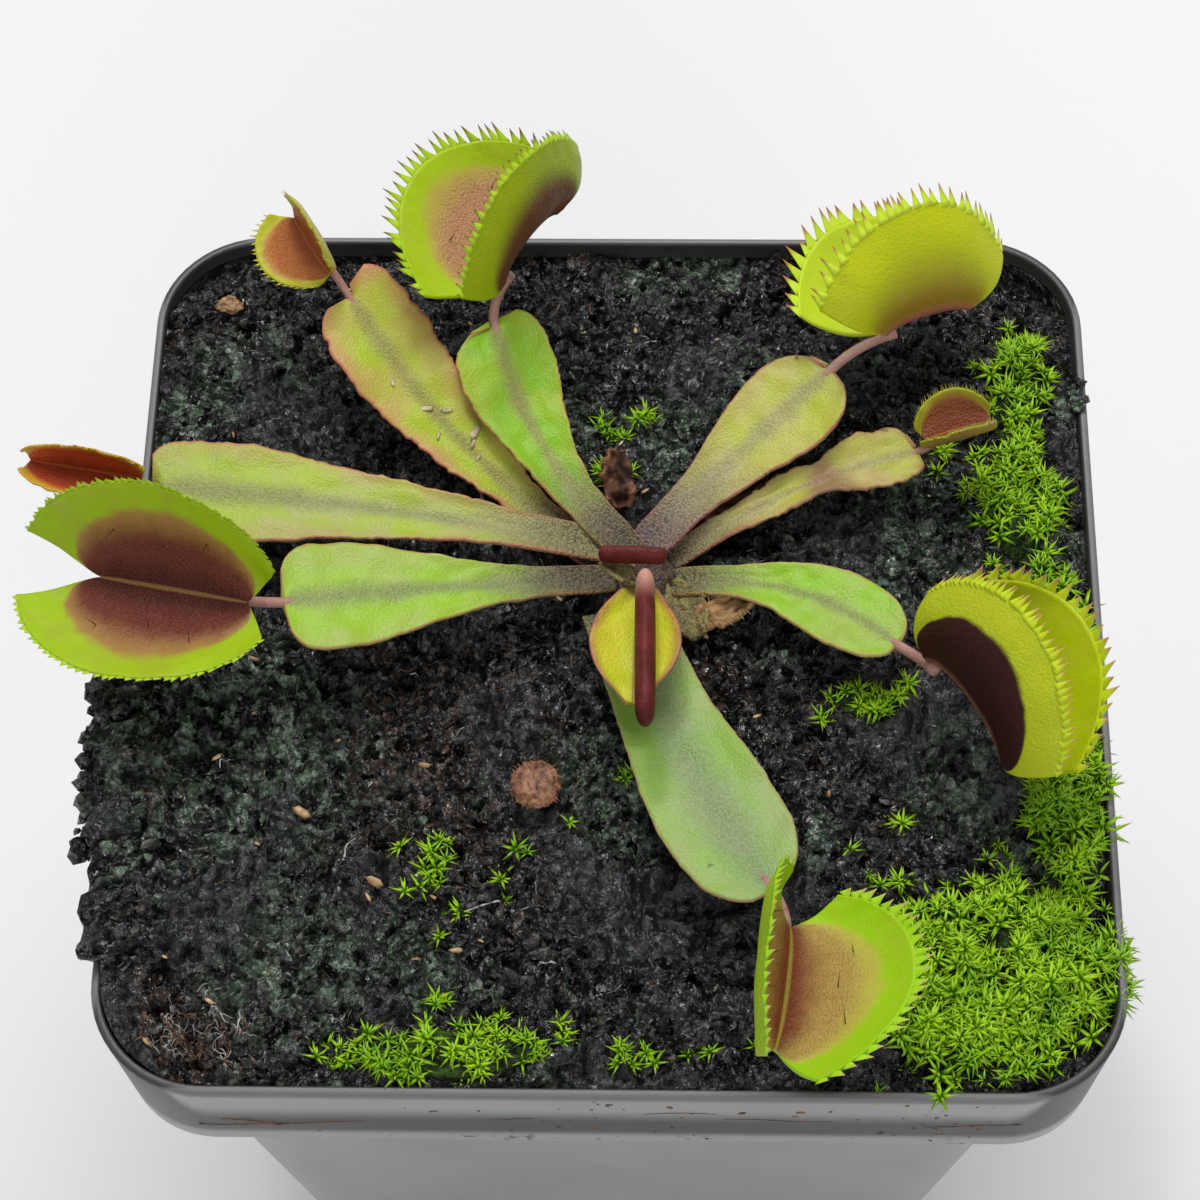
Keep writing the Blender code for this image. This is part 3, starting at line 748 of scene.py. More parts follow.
wet_peat = peat_finish("wet_black_peat", (0.006, 0.006, 0.006), (0.13, 0.132, 0.127), 0.0)
dry_peat = peat_finish("drier_peat", (0.025, 0.022, 0.018), (0.25, 0.225, 0.19), 0.1)
green_peat = peat_finish("algae_green_peat", (0.022, 0.032, 0.022), (0.18, 0.23, 0.17), 0.0)
brown_peat = peat_finish("bark_brown_peat", (0.026, 0.014, 0.010), (0.17, 0.095, 0.062), 0.05)

piece("peat", bm, [wet_peat], ["soil"])


# %% [markdown]
# ## Leaf blades
# Each leaf is a flat green blade that starts narrow at the crown, swells to square shoulders, and ends
# in a short round stalk that carries the trap. The table says where each one lies, as a grower would
# measure it: its heading, its reach, how high it rises and how wide its two halves are. The blade is a
# sheet, thick along the midrib and thin at the edge, and its edge ruffles a little.

# %% The leaves of this plant
# turn, reach: heading from above and length from the crown to the neck, in degrees and millimetres.
# start, bow, rise: where the blade begins, how far it bends left, and its height over the rim.
# inner: the share of its length that runs on inwards under the shut trap.
# base, wide, at, square, ears: its half widths and the form of its shoulders.
# stalk: length, heading and climb. ruffle, nicks: how wavy and how jagged its edge is.
LEAVES = {
    1: dict(turn=191, start=(4.0, 0.0), inner=0.06, reach=30.6, bow=-0.3, rise=(4.2, 6.5, 9.0), base=1.3,
            wide=(5.2, 5.2), at=0.86, square=3.0, ears=(0.2, 0.0), stalk=(2.6, 200, 1.0), ruffle=0.25,
            nicks=0.1),
    2: dict(turn=171, start=(4.2, -2.1), inner=0.06, reach=42.5, bow=-0.4, rise=(4.2, 6.0, 7.0), base=1.6,
            wide=(4.9, 4.9), at=0.86, square=3.2, ears=(0.0, 1.4), stalk=(0.9, 165, 1.0), ruffle=0.6,
            nicks=0.35),
    3: dict(turn=136, start=(5.5, 1.1), inner=0.08, reach=36.3, bow=1.4, rise=(2.7, 5.0, 9.0), base=1.5,
            wide=(4.4, 4.7), at=0.82, square=3.0, ears=(0.3, 2.4), stalk=(1.6, 130, 1.6), ruffle=0.5,
            nicks=0.6),
    4: dict(turn=120, start=(4.2, 0.3), inner=0.15, reach=26.6, bow=1.6, rise=(4.4, 6.0, 8.0), base=1.6,
            wide=(4.3, 4.3), at=0.82, square=2.8, ears=(-0.6, 1.2), stalk=(2.1, 65, 2.6), ruffle=0.35,
            nicks=0.25),
    5: dict(turn=48.5, start=(3.4, 1.6), inner=0.15, reach=24.6, bow=0.4, rise=(4.0, 5.5, 8.0), base=1.8,
            wide=(4.4, 4.5), at=0.78, square=2.6, ears=(-0.4, 0.0), stalk=(5.0, 21, 1.6), ruffle=0.25,
            nicks=0.1),
    6: dict(turn=27, start=(4.0, 0.9), inner=0.13, reach=26.8, bow=0.9, rise=(2.8, 4.4, 4.6), base=1.1,
            wide=(2.9, 2.6), at=0.88, square=3.0, ears=(-0.2, 0.6), stalk=(0.6, 15, 0.4), ruffle=0.7,
            nicks=0.45, waist=0.3),
    7: dict(turn=-20, start=(3.4, 0.7), inner=0.13, reach=22.9, bow=2.0, rise=(3.4, 5.0, 6.0), base=1.3,
            wide=(3.6, 3.7), at=0.72, square=2.4, ears=(0.0, 0.4), stalk=(3.2, -55, 1.8), ruffle=0.2,
            nicks=0.1),
    8: dict(turn=-71, start=(2.2, -2.6), inner=0.0, reach=32.8, bow=-1.0, rise=(2.9, 4.8, 7.0), base=3.5,
            wide=(5.0, 5.4), at=0.74, square=2.4, ears=(0.0, 0.6), stalk=(4.9, -81, 2.2), ruffle=0.3,
            nicks=0.15),
}
CROWN = Vector((2.5, 4.0, RIM_Z / MM))  # where the leaves meet, in millimetres
crown_low, crown_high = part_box("crown")
print(
    "crown off its CAD place, in mm:", [round(c, 2) for c in ((crown_low + crown_high) / 2 / MM - CROWN).xy]
)


# %% Form of a blade
def half_width(leaf, side, v):
    wide = leaf["wide"][side]
    if v < leaf["at"]:
        return leaf["base"] + (wide - leaf["base"]) * smooth((v / leaf["at"]) ** 1.4)
    rest = (v - leaf["at"]) / (1 - leaf["at"])
    return wide * max(1 - rest ** leaf["square"], 0) ** (1 / leaf["square"])


def midrib(leaf, v):
    """Middle line of a blade from the crown at 0 to the neck at 1, in millimetres."""
    turn = math.radians(leaf["turn"])
    ahead = Vector((math.cos(turn), math.sin(turn), 0))
    left = Vector((-math.sin(turn), math.cos(turn), 0))
    low, middle, end = leaf["rise"]
    height = low * (1 - v) * (1 - 2 * v) + middle * 4 * v * (1 - v) + end * v * (2 * v - 1)
    if v < 0:
        height = low + 3 * v
    begin, beside = leaf["start"]
    along = begin + (leaf["reach"] - begin) * v
    aside = beside * (1 - v) + leaf["bow"] * 4 * v * (1 - v)
    return CROWN + ahead * along + left * aside + Vector((0, 0, height))


def stalk_tip(leaf):
    length, turn, climb = leaf["stalk"]
    turn = math.radians(turn)
    return midrib(leaf, 1) + Vector((length * math.cos(turn), length * math.sin(turn), climb))


def blade_point(number, v, side):
    leaf = LEAVES[number]
    inner = leaf["inner"]  # it begins a little before its base, under the shut trap
    v = (1 + inner) * v**0.85 - inner
    ahead = (midrib(leaf, min(v + 0.01, 1)) - midrib(leaf, v - 0.01)).normalized()
    left = Vector((-ahead.y, ahead.x, 0)).normalized()
    edge = 0 if side > 0 else 1
    width = max(half_width(leaf, edge, max(v, 0)), 0.5) * (1 + 2.5 * min(v, 0))
    grown = smooth(v * 3) * smooth((1 - v) * 12)
    seed = Vector((v * 9, number * 3.7, 2.0 if side > 0 else 0.0))
    nick = noise.noise(seed * 2.4) * 0.6 + noise.noise(seed * 6.5) * 0.5
    width += leaf["nicks"] * nick * grown * smooth(width / 2)
    width *= 1 - leaf.get("waist", 0) * math.exp(-(((v - 0.6) / 0.09) ** 2))
    width *= side
    rib = math.exp(-((abs(width) / 0.45) ** 2))
    lift = 0.35 * abs(side) ** 1.5 * min(1, abs(width) / 2) - 0.12 * rib * (1 - v)
    lift += leaf["ruffle"] * noise.noise(seed * 0.75) * side * side * grown * 1.4
    lift += 0.22 * noise.noise(Vector((v * 14, side * 2.5, number * 5.1))) * grown
    ear = leaf["ears"][edge] * smooth((v - 0.7) / 0.3) * side * side * min(1, abs(width))
    return midrib(leaf, v) + left * width + ahead * ear + Vector((0, 0, lift))


# %% [markdown]
# ### What colours a blade
# The green changes across the blade: a grey brown, pebbled stripe runs out along the midrib from the
# crown, the flat sides are bright green or lime, and a thin line of tan or pink follows the edge. The
# sheet's own map gives the two measures this needs: how far along and how far from the midrib.

# %% Blade face group
at, out = new_group(
    "blade_face",
    {
        "Map": "", "Where": "", "Green": (0.3, 0.46, 0.08), "Other Green": (0.34, 0.4, 0.1),
        "Rib": (0.28, 0.33, 0.13), "Base": (0.2, 0.17, 0.1), "Edge": (0.42, 0.2, 0.12), "Rib Width": 0.3,
        "Base Reach": 0.45, "Edge Width": 0.05, "Blush": 0.2,
    },
    {"Color": tuple, "Height": float},
)
place = coordinates(at["Map"])
along = place[0]
across = abs(place[1] - 0.5) * 2.0
wander = clouds(at["Where"], 420.0, 4.0, 0.6) - 0.5
patches = clouds(at["Where"], 190.0, 3.0, 0.55)
colour = mix(step(patches, 0.38, 0.64), at["Green"], at["Other Green"])
widened = at["Rib Width"] + step(along, at["Base Reach"], 0.0, 0.0, 1.1)
close = (across + wander * 0.3) / widened
stripe = step(close, 1.3, 0.0)
colour = mix(stripe * 0.75, colour, at["Rib"])
near_crown = step(along + wander * 0.12, at["Base Reach"], 0.04)
colour = mix(near_crown * 0.9, colour, at["Base"])
heart = step(along, 0.24, 0.06)
colour = mix(heart * 0.6, colour, mix(0.4, at["Base"], (0.03, 0.012, 0.012)))
blush = step(across + wander * 0.7, 0.5, 1.0)
colour = mix(blush * at["Blush"], colour, at["Edge"])
near_edge = across + wander * 0.09
rim = step(near_edge, 0.99 - at["Edge Width"], 1.0)
colour = mix(rim * 0.85, colour, at["Edge"])
glands = 0.12 + maths("MAXIMUM", stripe * 0.42, near_crown) * 0.85
beads = use_group("pebbled_skin", {"Where": at["Where"], "Scale": 4300.0, "Amount": glands})
colour = mix(1.0, colour, beads["Shade"], "MULTIPLY")
spots = step(clouds(at["Where"], 700.0, 1.0, 0.5), 0.78, 0.81)
colour = mix(spots * 0.6, colour, (0.07, 0.06, 0.03))
wire(colour, out, "Color")
veins = clouds(at["Where"], 700.0, 3.0, 0.6)
bumps = beads["Height"] * (0.25 + glands * 1.6)
wire(bumps + veins * 0.8, out, "Height")

# %% Blade finishes
# Green, other green, rib, base, edge, then rib width, base reach, edge width and blush.
BLADE_COLOURS = {
    1: ((0.29, 0.49, 0.02), (0.34, 0.46, 0.08), (0.25, 0.28, 0.12), (0.19, 0.155, 0.10),
        (0.46, 0.24, 0.10), 0.28, 0.44, 0.03, 0.10),
    2: ((0.36, 0.47, 0.03), (0.39, 0.42, 0.11), (0.31, 0.30, 0.14), (0.38, 0.35, 0.16),
        (0.50, 0.19, 0.12), 0.32, 0.36, 0.05, 0.28),
    3: ((0.36, 0.47, 0.01), (0.43, 0.38, 0.06), (0.31, 0.28, 0.09), (0.34, 0.31, 0.12),
        (0.54, 0.17, 0.12), 0.26, 0.40, 0.07, 0.45),
    4: ((0.22, 0.46, 0.008), (0.29, 0.46, 0.015), (0.34, 0.30, 0.11), (0.22, 0.175, 0.12),
        (0.48, 0.26, 0.09), 0.24, 0.50, 0.04, 0.16),
    5: ((0.41, 0.48, 0.03), (0.46, 0.44, 0.10), (0.38, 0.36, 0.16), (0.30, 0.21, 0.19),
        (0.40, 0.14, 0.12), 0.30, 0.62, 0.05, 0.22),
    6: ((0.42, 0.44, 0.06), (0.45, 0.36, 0.12), (0.38, 0.35, 0.16), (0.27, 0.22, 0.12),
        (0.42, 0.18, 0.11), 0.26, 0.45, 0.06, 0.30),
    7: ((0.26, 0.50, 0.02), (0.31, 0.44, 0.06), (0.27, 0.29, 0.11), (0.26, 0.23, 0.11),
        (0.50, 0.32, 0.12), 0.22, 0.42, 0.05, 0.12),
    8: ((0.24, 0.42, 0.055), (0.29, 0.40, 0.12), (0.27, 0.34, 0.17), (0.25, 0.28, 0.13),
        (0.44, 0.30, 0.13), 0.55, 0.30, 0.025, 0.10),
}
BLADE_LABELS = (
    "Green", "Other Green", "Rib", "Base", "Edge", "Rib Width", "Base Reach", "Edge Width", "Blush"
)
blade_finish = {}
for number, values in BLADE_COLOURS.items():
    blade_finish[number], shader, where, on_leaf = new_material(f"blade_skin_{number}", 0.42, 0.28)
    face = use_group("blade_face", {"Map": on_leaf, "Where": where, **dict(zip(BLADE_LABELS, values))})
    colour = face["Color"]
    if number == 6:  # a bruise that dried brown, where this blade was once bent
        place = coordinates(on_leaf)
        bruise = abs(place[0] - 0.63)
        bruise = step(bruise + place[1] * 0.06, 0.15, 0.05)
        colour = mix(bruise * 0.85, colour, (0.27, 0.15, 0.085))
    wire(colour, shader, "Base Color")
    relief(shader, face["Height"], 0.12 * MM, 0.75)

stalk_skin, shader, where, _ = new_material("stalk_skin", 0.42, 0.3)
tone = clouds(where, 500.0, 3.0, 0.6)
colour = mix(step(tone, 0.3, 0.7), (0.4, 0.19, 0.16), (0.52, 0.3, 0.24))
beads = use_group("pebbled_skin", {"Where": where, "Scale": 4200.0, "Amount": 0.5})
wire(mix(1.0, colour, beads["Shade"], "MULTIPLY"), shader, "Base Color")
relief(shader, beads["Height"], 0.08 * MM, 0.6)

# %% [markdown]
# ## Traps
# A trap is the end of the leaf, folded into two lobes along a hinge. The inside is pebbled with red
# glands and carries three fine trigger hairs on each lobe, the margin is a clean lime band, and a row of
# teeth stands along it. Each lobe could be sculpted, but a formula keeps the eight of them consistent:
# the table gives the pose of the hinge, how far each lobe has opened and how large it is.

# %% The traps of this plant
# turn, pitch, roll: pose of the hinge. open: angle of each lobe from the middle of the mouth.
# hinge, span, depth: lengths. shift, arch, bulge: the lobes' slide along the hinge and their swell.
# teeth: for the left and the right lobe, (number, length, width, lean over the mouth in degrees).
TRAPS = {
    1: dict(turn=166, pitch=-6, roll=-27, open=(51, 51), hinge=13.2, span=23.4, depth=10.2, shift=1.8,
            arch=0.3, bulge=0.9, teeth=((38, 0.75, 0.95, 8), (40, 0.75, 0.9, 12))),
    2: dict(turn=172, pitch=4, roll=-36, open=(30, 30), hinge=9.8, span=11.4, depth=4.0, shift=0.2,
            arch=0.3, bulge=0.5, teeth=((26, 0.45, 0.3, 10), (26, 0.55, 0.25, 10))),
    3: dict(turn=122, pitch=8, roll=-50, open=(45, 45), hinge=6.4, span=8.8, depth=4.8, shift=0.6,
            arch=0.2, bulge=0.5, teeth=((20, 0.7, 0.28, 10), (20, 1.1, 0.26, 0))),
    4: dict(turn=58, pitch=2, roll=-37, open=(35, 35), hinge=9.2, span=19.6, depth=11.8, shift=-0.8,
            arch=1.1, bulge=1.5, teeth=((28, 2.2, 1.0, 3), (32, 1.2, 0.9, 20))),
    5: dict(turn=28, pitch=-11, roll=-54, open=(29, 29), hinge=9.2, span=20.0, depth=11.3, shift=-1.6,
            arch=0.8, bulge=1.5, teeth=((22, 2.3, 1.5, 0), (26, 2.0, 1.05, 4))),
    6: dict(turn=15, pitch=6, roll=-6, open=(37, 37), hinge=6.0, span=7.2, depth=3.8, shift=-0.2,
            arch=0.2, bulge=0.5, teeth=((34, 0.85, 0.15, 10), (34, 0.85, 0.15, 15))),
    7: dict(turn=-59, pitch=-1, roll=-37, open=(17, 16), hinge=11.4, span=20.4, depth=12.2, shift=0.6,
            arch=1.4, bulge=1.6, teeth=((24, 1.9, 1.4, 0), (44, 1.5, 0.8, 12))),
    8: dict(turn=-97, pitch=15, roll=-35, open=(29, 42), hinge=11.8, span=19.4, depth=11.0, shift=0.4,
            arch=0.6, bulge=1.2, teeth=((25, 1.8, 1.25, 0), (30, 1.1, 0.85, 15))),
}
LOBE_FROM = math.radians(20)  # a lobe starts and ends this far round its half circle
LARGE_SPAN = 12  # a trap over this length has trigger hairs and a thicker stalk


# %% Form of a lobe
def trap_axes(trap):
    """Unit vectors of a trap: along its hinge, out through its mouth, and to its right."""
    turn, pitch, roll = (math.radians(trap[key]) for key in ("turn", "pitch", "roll"))
    ahead = Vector((math.cos(turn) * math.cos(pitch), math.sin(turn) * math.cos(pitch), math.sin(pitch)))
    up = Vector((-math.cos(turn) * math.sin(pitch), -math.sin(turn) * math.sin(pitch), math.cos(pitch)))
    right = ahead.cross(up)
    mouth = up * math.cos(roll) + right * math.sin(roll)
    return ahead, mouth, ahead.cross(mouth)


def trap_base(number):
    ahead, mouth, _ = trap_axes(TRAPS[number])
    return stalk_tip(LEAVES[number]) + ahead * 0.35 + mouth * 1.05


def lobe_point(number, side, s, t):
    """A point of a lobe. s runs along the hinge and t from the hinge to the margin; side 1 is the right
    lobe and -1 the left one."""
    trap = TRAPS[number]
    ahead, mouth, right = trap_axes(trap)
    spread = math.radians(trap["open"][0 if side < 0 else 1])
    rise = mouth * math.cos(spread) + right * side * math.sin(spread)
    outward = right * side * math.cos(spread) - mouth * math.sin(spread)
    angle = LOBE_FROM + (math.pi - 2 * LOBE_FROM) * s
    on_hinge = trap["hinge"] * (1 - math.cos(angle) / math.cos(LOBE_FROM)) / 2
    on_margin = trap["hinge"] / 2 + trap["shift"] - trap["span"] / 2 * math.cos(angle)
    sag = trap["arch"] * (1 - (2 * s - 1) ** 2) * (1 - t)
    swell = trap["bulge"] * math.sin(math.pi * t**0.9) * math.sin(angle) ** 0.5
    along = on_hinge + (on_margin - on_hinge) * t**0.75
    wave = Vector((s * 5, t * 2.5, number * 4.3 + side))
    uneven = noise.noise(wave) * 0.35 * t * min(trap["depth"] / 10, 1)
    uneven += noise.noise(Vector((s * 16, number * 2.1, side))) * 0.16 * smooth((t - 0.7) / 0.3)
    return (
        trap_base(number)
        + ahead * along
        + mouth * sag
        + rise * trap["depth"] * math.sin(angle) * t
        + outward * (swell + uneven)
    )


# %% A tooth and a hair to stamp
def tooth_mesh():
    """A tooth 1 long and 1 wide at its foot, a third as thick, curving a little to +Y."""
    small = rod(
        lambda k: Vector((0, 0.10 * k * k, k - 0.12)) / MM,
        lambda k: (0.5 * (1 - k) ** 1.15 + 0.025) / MM,
        sides=6, cuts=4, flat=0.4, slot=2,
    )
    return template(small)


TOOTH = tooth_mesh()
HAIR = template(
    rod(
        lambda k: Vector((0, 0.06 * k * k, k)) / MM,
        lambda k: 0.5 * (1 - 0.8 * k) / MM,
        sides=5, cuts=3, slot=3,
    )
)

# %% [markdown]
# ### What colours a trap
# Inside, the colour runs out from the hinge: nearly black red, then red or tan, then lime at the margin.
# Where the red ends is different on each trap, and the outside has its own run of colours, so the two faces
# of a lobe are two materials built from two groups. Outside, the colours darken from the lime band towards
# the keel: partly the lobe's own red and partly painted shade on its lower side.

# %% Lobe groups
at, out = new_group(
    "lobe_inside",
    {
        "Map": "", "Where": "", "Hinge": (0.1, 0.03, 0.02), "Centre": (0.2, 0.06, 0.03),
        "Between": (0.4, 0.25, 0.05), "Margin": (0.32, 0.46, 0.02), "Reach": 0.75, "Blur": 0.3,
        "Streaks": 0.3,
    },
    {"Color": tuple, "Height": float},
)
place = coordinates(at["Map"])
t_out = abs(place[1] - 0.5) * 2.0
arc = maths("SINE", place[0] * 3.1416) ** 0.42
wander = clouds(at["Where"], 520.0, 4.0, 0.6) - 0.5
limit = arc * at["Reach"]
ratio = (t_out + wander * 0.16) / maths("MAXIMUM", limit, 0.03)
inner = 1.0 - at["Blur"]
colour = mix(step(ratio, 1.12, 0.92), at["Margin"], at["Between"])
red = step(ratio, 1.02, inner)
colour = mix(red, colour, at["Centre"])
colour = mix(step(ratio, 0.5, 0.02), colour, at["Hinge"])
streak_map = vector_maths("MULTIPLY", at["Map"], (46.0, 7.0, 1.0))[0]
streaks = step(clouds(streak_map, 1.0, 3.0, 0.6), 0.5, 0.68)
colour = mix(streaks * at["Streaks"] * step(ratio, 1.2, 0.7), colour, at["Hinge"])
beads = use_group("pebbled_skin", {"Where": at["Where"], "Scale": 4600.0, "Amount": 0.16 + red * 0.35})
colour = mix(1.0, colour, beads["Shade"], "MULTIPLY")
glints = step(beads["Height"], 0.75, 0.95) * (red * 0.13)
colour = mix(glints, colour, at["Between"])
mottled = step(clouds(at["Where"], 300.0, 4.0, 0.65), 0.42, 0.66) * ((1.0 - red) * 0.22)
colour = mix(mottled, colour, at["Between"])
colour = mix(step(t_out, 0.026, 0.008) * 0.55, colour, at["Between"])
wire(colour, out, "Color")
crinkle = clouds(at["Where"], 620.0, 3.0, 0.6)
wire(beads["Height"] * (0.15 + red) + crinkle * 0.8, out, "Height")

at, out = new_group(
    "lobe_outside",
    {
        "Map": "", "Where": "", "Keel": (0.1, 0.03, 0.02), "Side": (0.2, 0.1, 0.03), "Band": (0.3, 0.4, 0.02),
        "From": 0.3, "To": 0.8,
    },
    {"Color": tuple, "Height": float},
)
place = coordinates(at["Map"])
t_out = abs(place[1] - 0.5) * 2.0
wander = clouds(at["Where"], 480.0, 4.0, 0.6) - 0.5
ends = maths("SINE", place[0] * 3.1416) ** 0.35
height = (t_out + wander * 0.07) / maths("MAXIMUM", ends, 0.05)
# Darker from the lime band down to the keel: partly the lobe's own red, partly painted shade on its lower
# side.
colour = mix(step(height, at["From"], at["To"]), at["Side"], at["Band"])
colour = mix(step(height, 0.12, 0.0), colour, at["Keel"])
beads = use_group(
    "pebbled_skin", {"Where": at["Where"], "Scale": 4300.0, "Amount": step(height, 1.0, 0.5, 0.12, 0.4)}
)
wire(mix(1.0, colour, beads["Shade"], "MULTIPLY"), out, "Color")
wire(beads["Height"] * 0.6 + clouds(at["Where"], 600.0, 3.0, 0.6) * 0.45, out, "Height")

# %% Trap finishes
# Inside: hinge, centre, between, margin, reach, blur, streaks. Outside: keel, side, band, from, to. Tips.
LOBE_COLOURS = {
    1: (
        (
            (0.075, 0.012, 0.007), (0.165, 0.034, 0.018), (0.36, 0.20, 0.05), (0.33, 0.50, 0.006), 0.70, 0.52,
            0.2,
        ),
        ((0.14, 0.05, 0.03), (0.22, 0.26, 0.02), (0.32, 0.50, 0.01), 0.2, 0.7), (0.36, 0.42, 0.02)),
    2: (
        ((0.40, 0.05, 0.018), (0.60, 0.10, 0.035), (0.56, 0.20, 0.03), (0.58, 0.36, 0.03), 0.86, 0.3, 0.15),
        ((0.16, 0.05, 0.03), (0.30, 0.13, 0.02), (0.46, 0.30, 0.03), 0.3, 0.9), (0.34, 0.05, 0.03)),
    3: (
        ((0.32, 0.075, 0.022), (0.46, 0.15, 0.035), (0.44, 0.22, 0.03), (0.46, 0.46, 0.03), 0.88, 0.25, 0.15),
        ((0.24, 0.09, 0.05), (0.36, 0.18, 0.05), (0.48, 0.42, 0.08), 0.3, 0.9), (0.46, 0.18, 0.06)),
    4: (
        ((0.30, 0.11, 0.045), (0.48, 0.25, 0.115), (0.46, 0.38, 0.06), (0.36, 0.53, 0.004), 0.80, 0.34, 0.3),
        ((0.085, 0.026, 0.018), (0.16, 0.06, 0.022), (0.36, 0.46, 0.005), 0.50, 0.86),
        (0.18, 0.06, 0.03)),
    5: (((0.40, 0.44, 0.03), (0.54, 0.62, 0.05), (0.56, 0.66, 0.05), (0.52, 0.66, 0.02), 0.7, 0.4, 0.1),
        ((0.42, 0.13, 0.09), (0.32, 0.19, 0.015), (0.52, 0.58, 0.004), 0.10, 0.74), (0.42, 0.12, 0.05)),
    6: (
        ((0.22, 0.05, 0.02), (0.34, 0.11, 0.045), (0.38, 0.25, 0.03), (0.42, 0.44, 0.03), 0.9, 0.25, 0.15),
        ((0.20, 0.08, 0.03), (0.24, 0.11, 0.03), (0.36, 0.24, 0.05), 0.3, 1.0), (0.60, 0.46, 0.22)),
    7: (((0.45, 0.36, 0.04), (0.60, 0.46, 0.11), (0.56, 0.54, 0.06), (0.46, 0.56, 0.004), 0.62, 0.3, 0.3),
        ((0.34, 0.15, 0.08), (0.042, 0.009, 0.008), (0.47, 0.54, 0.015), 0.70, 0.76), (0.58, 0.26, 0.13)),
    8: (
        ((0.22, 0.045, 0.015), (0.45, 0.29, 0.07), (0.48, 0.46, 0.06), (0.32, 0.57, 0.004), 0.70, 0.45, 0.2),
        ((0.26, 0.13, 0.05), (0.28, 0.32, 0.03), (0.36, 0.54, 0.02), 0.2, 0.75), (0.54, 0.44, 0.14)),
}
LOBE_LABELS = {
    "inside": ("Hinge", "Centre", "Between", "Margin", "Reach", "Blur", "Streaks"),
    "outside": ("Keel", "Side", "Band", "From", "To"),
}
trap_finish = {}
for number, (inner, outer, tip) in LOBE_COLOURS.items():
    faces = []
    for (label, labels), values in zip(LOBE_LABELS.items(), (inner, outer)):
        finish, shader, where, on_lobe = new_material(f"trap_{number}_{label}", 0.45, 0.22)
        face = use_group(f"lobe_{label}", {"Map": on_lobe, "Where": where, **dict(zip(labels, values))})
        wire(face["Color"], shader, "Base Color")
        relief(shader, face["Height"], 0.11 * MM, 0.8)
        faces.append(finish)
    finish, shader, where, on_tooth = new_material(f"trap_{number}_teeth", 0.42, 0.3)
    place = coordinates(on_tooth)
    tone = clouds(where, 900.0, 2.0, 0.5)
    root = mix(tone, inner[3], tuple(min(c * 1.25 + 0.02, 1) for c in inner[3]))
    end = place[0] + tone * 0.25
    wire(mix(step(end, 0.55, 1.05), root, tip), shader, "Base Color")
    relief(shader, tone, 0.05 * MM, 0.5)
    trap_finish[number] = [*faces, finish]
hair_skin, shader, where, _ = new_material("trigger_hair", 0.5, 0.4)
tone = clouds(where, 1500.0, 2.0, 0.5)
wire(mix(tone, (0.05, 0.012, 0.008), (0.16, 0.05, 0.02)), shader, "Base Color")


# %% Grow the blades and the traps
def lobe_sheet(number, along, across):
    def place(s, y):
        return lobe_point(number, -1 if y > 0 else 1, s, abs(y))

    def weight(s, y):
        return 0.75 - 0.5 * abs(y) ** 1.5 + 0.25 * math.exp(-((abs(y) / 0.06) ** 2))

    return sheet(along, across, place, weight)


def lobe_frame(number, side, s, t):
    """At a place on a lobe: the place, the way out across it, the way along it, and its inner normal."""
    here = lobe_point(number, side, s, t)
    across = (here - lobe_point(number, side, s, t - 0.04)).normalized()
    before, after = (lobe_point(number, side, min(max(at, 0), 1), t) for at in (s - 0.01, s + 0.01))
    along = (after - before).normalized()
    _, mouth, right = trap_axes(TRAPS[number])
    inward = along.cross(across)
    spread = math.radians(TRAPS[number]["open"][0 if side < 0 else 1])
    facing = mouth * math.sin(spread) - right * side * math.cos(spread)
    if inward.dot(facing) < 0:
        inward = -inward
    return here, across, along, inward.normalized()


def grow_blade(number):
    """The blade and the stalk that rises out of its midrib and runs into the trap's hinge."""
    leaf = LEAVES[number]
    bm = thicken(sheet(90, 26, lambda v, side: blade_point(number, v, side), thinner(0.62, 1.6)), 0.85)
    ahead, mouth, _ = trap_axes(TRAPS[number])
    first = midrib(leaf, 0.86) + Vector((0, 0, -1.0))
    neck = midrib(leaf, 1.0) + Vector((0, 0, -0.3))
    end = trap_base(number) + ahead * 1.2 - mouth * 0.45

    def path(k):
        if k < 0.5:
            return first.lerp(neck, k * 2)
        along = k * 2 - 1
        bend = neck + (neck - first).normalized() * (end - neck).length * 0.45
        return neck * (1 - along) ** 2 + bend * 2 * along * (1 - along) + end * along**2

    def radius(k):
        return thin * (0.75 + 0.25 * smooth(k * 3)) * (1.0 + 0.3 * smooth((k - 0.85) * 6))

    thin = 0.45 if TRAPS[number]["span"] > LARGE_SPAN else 0.36
    join(bm, rod(path, radius, sides=12, cuts=27, slot=1))
    piece(f"blade_{number}", bm, [blade_finish[number], stalk_skin], [f"leaf_blade_{number}"])


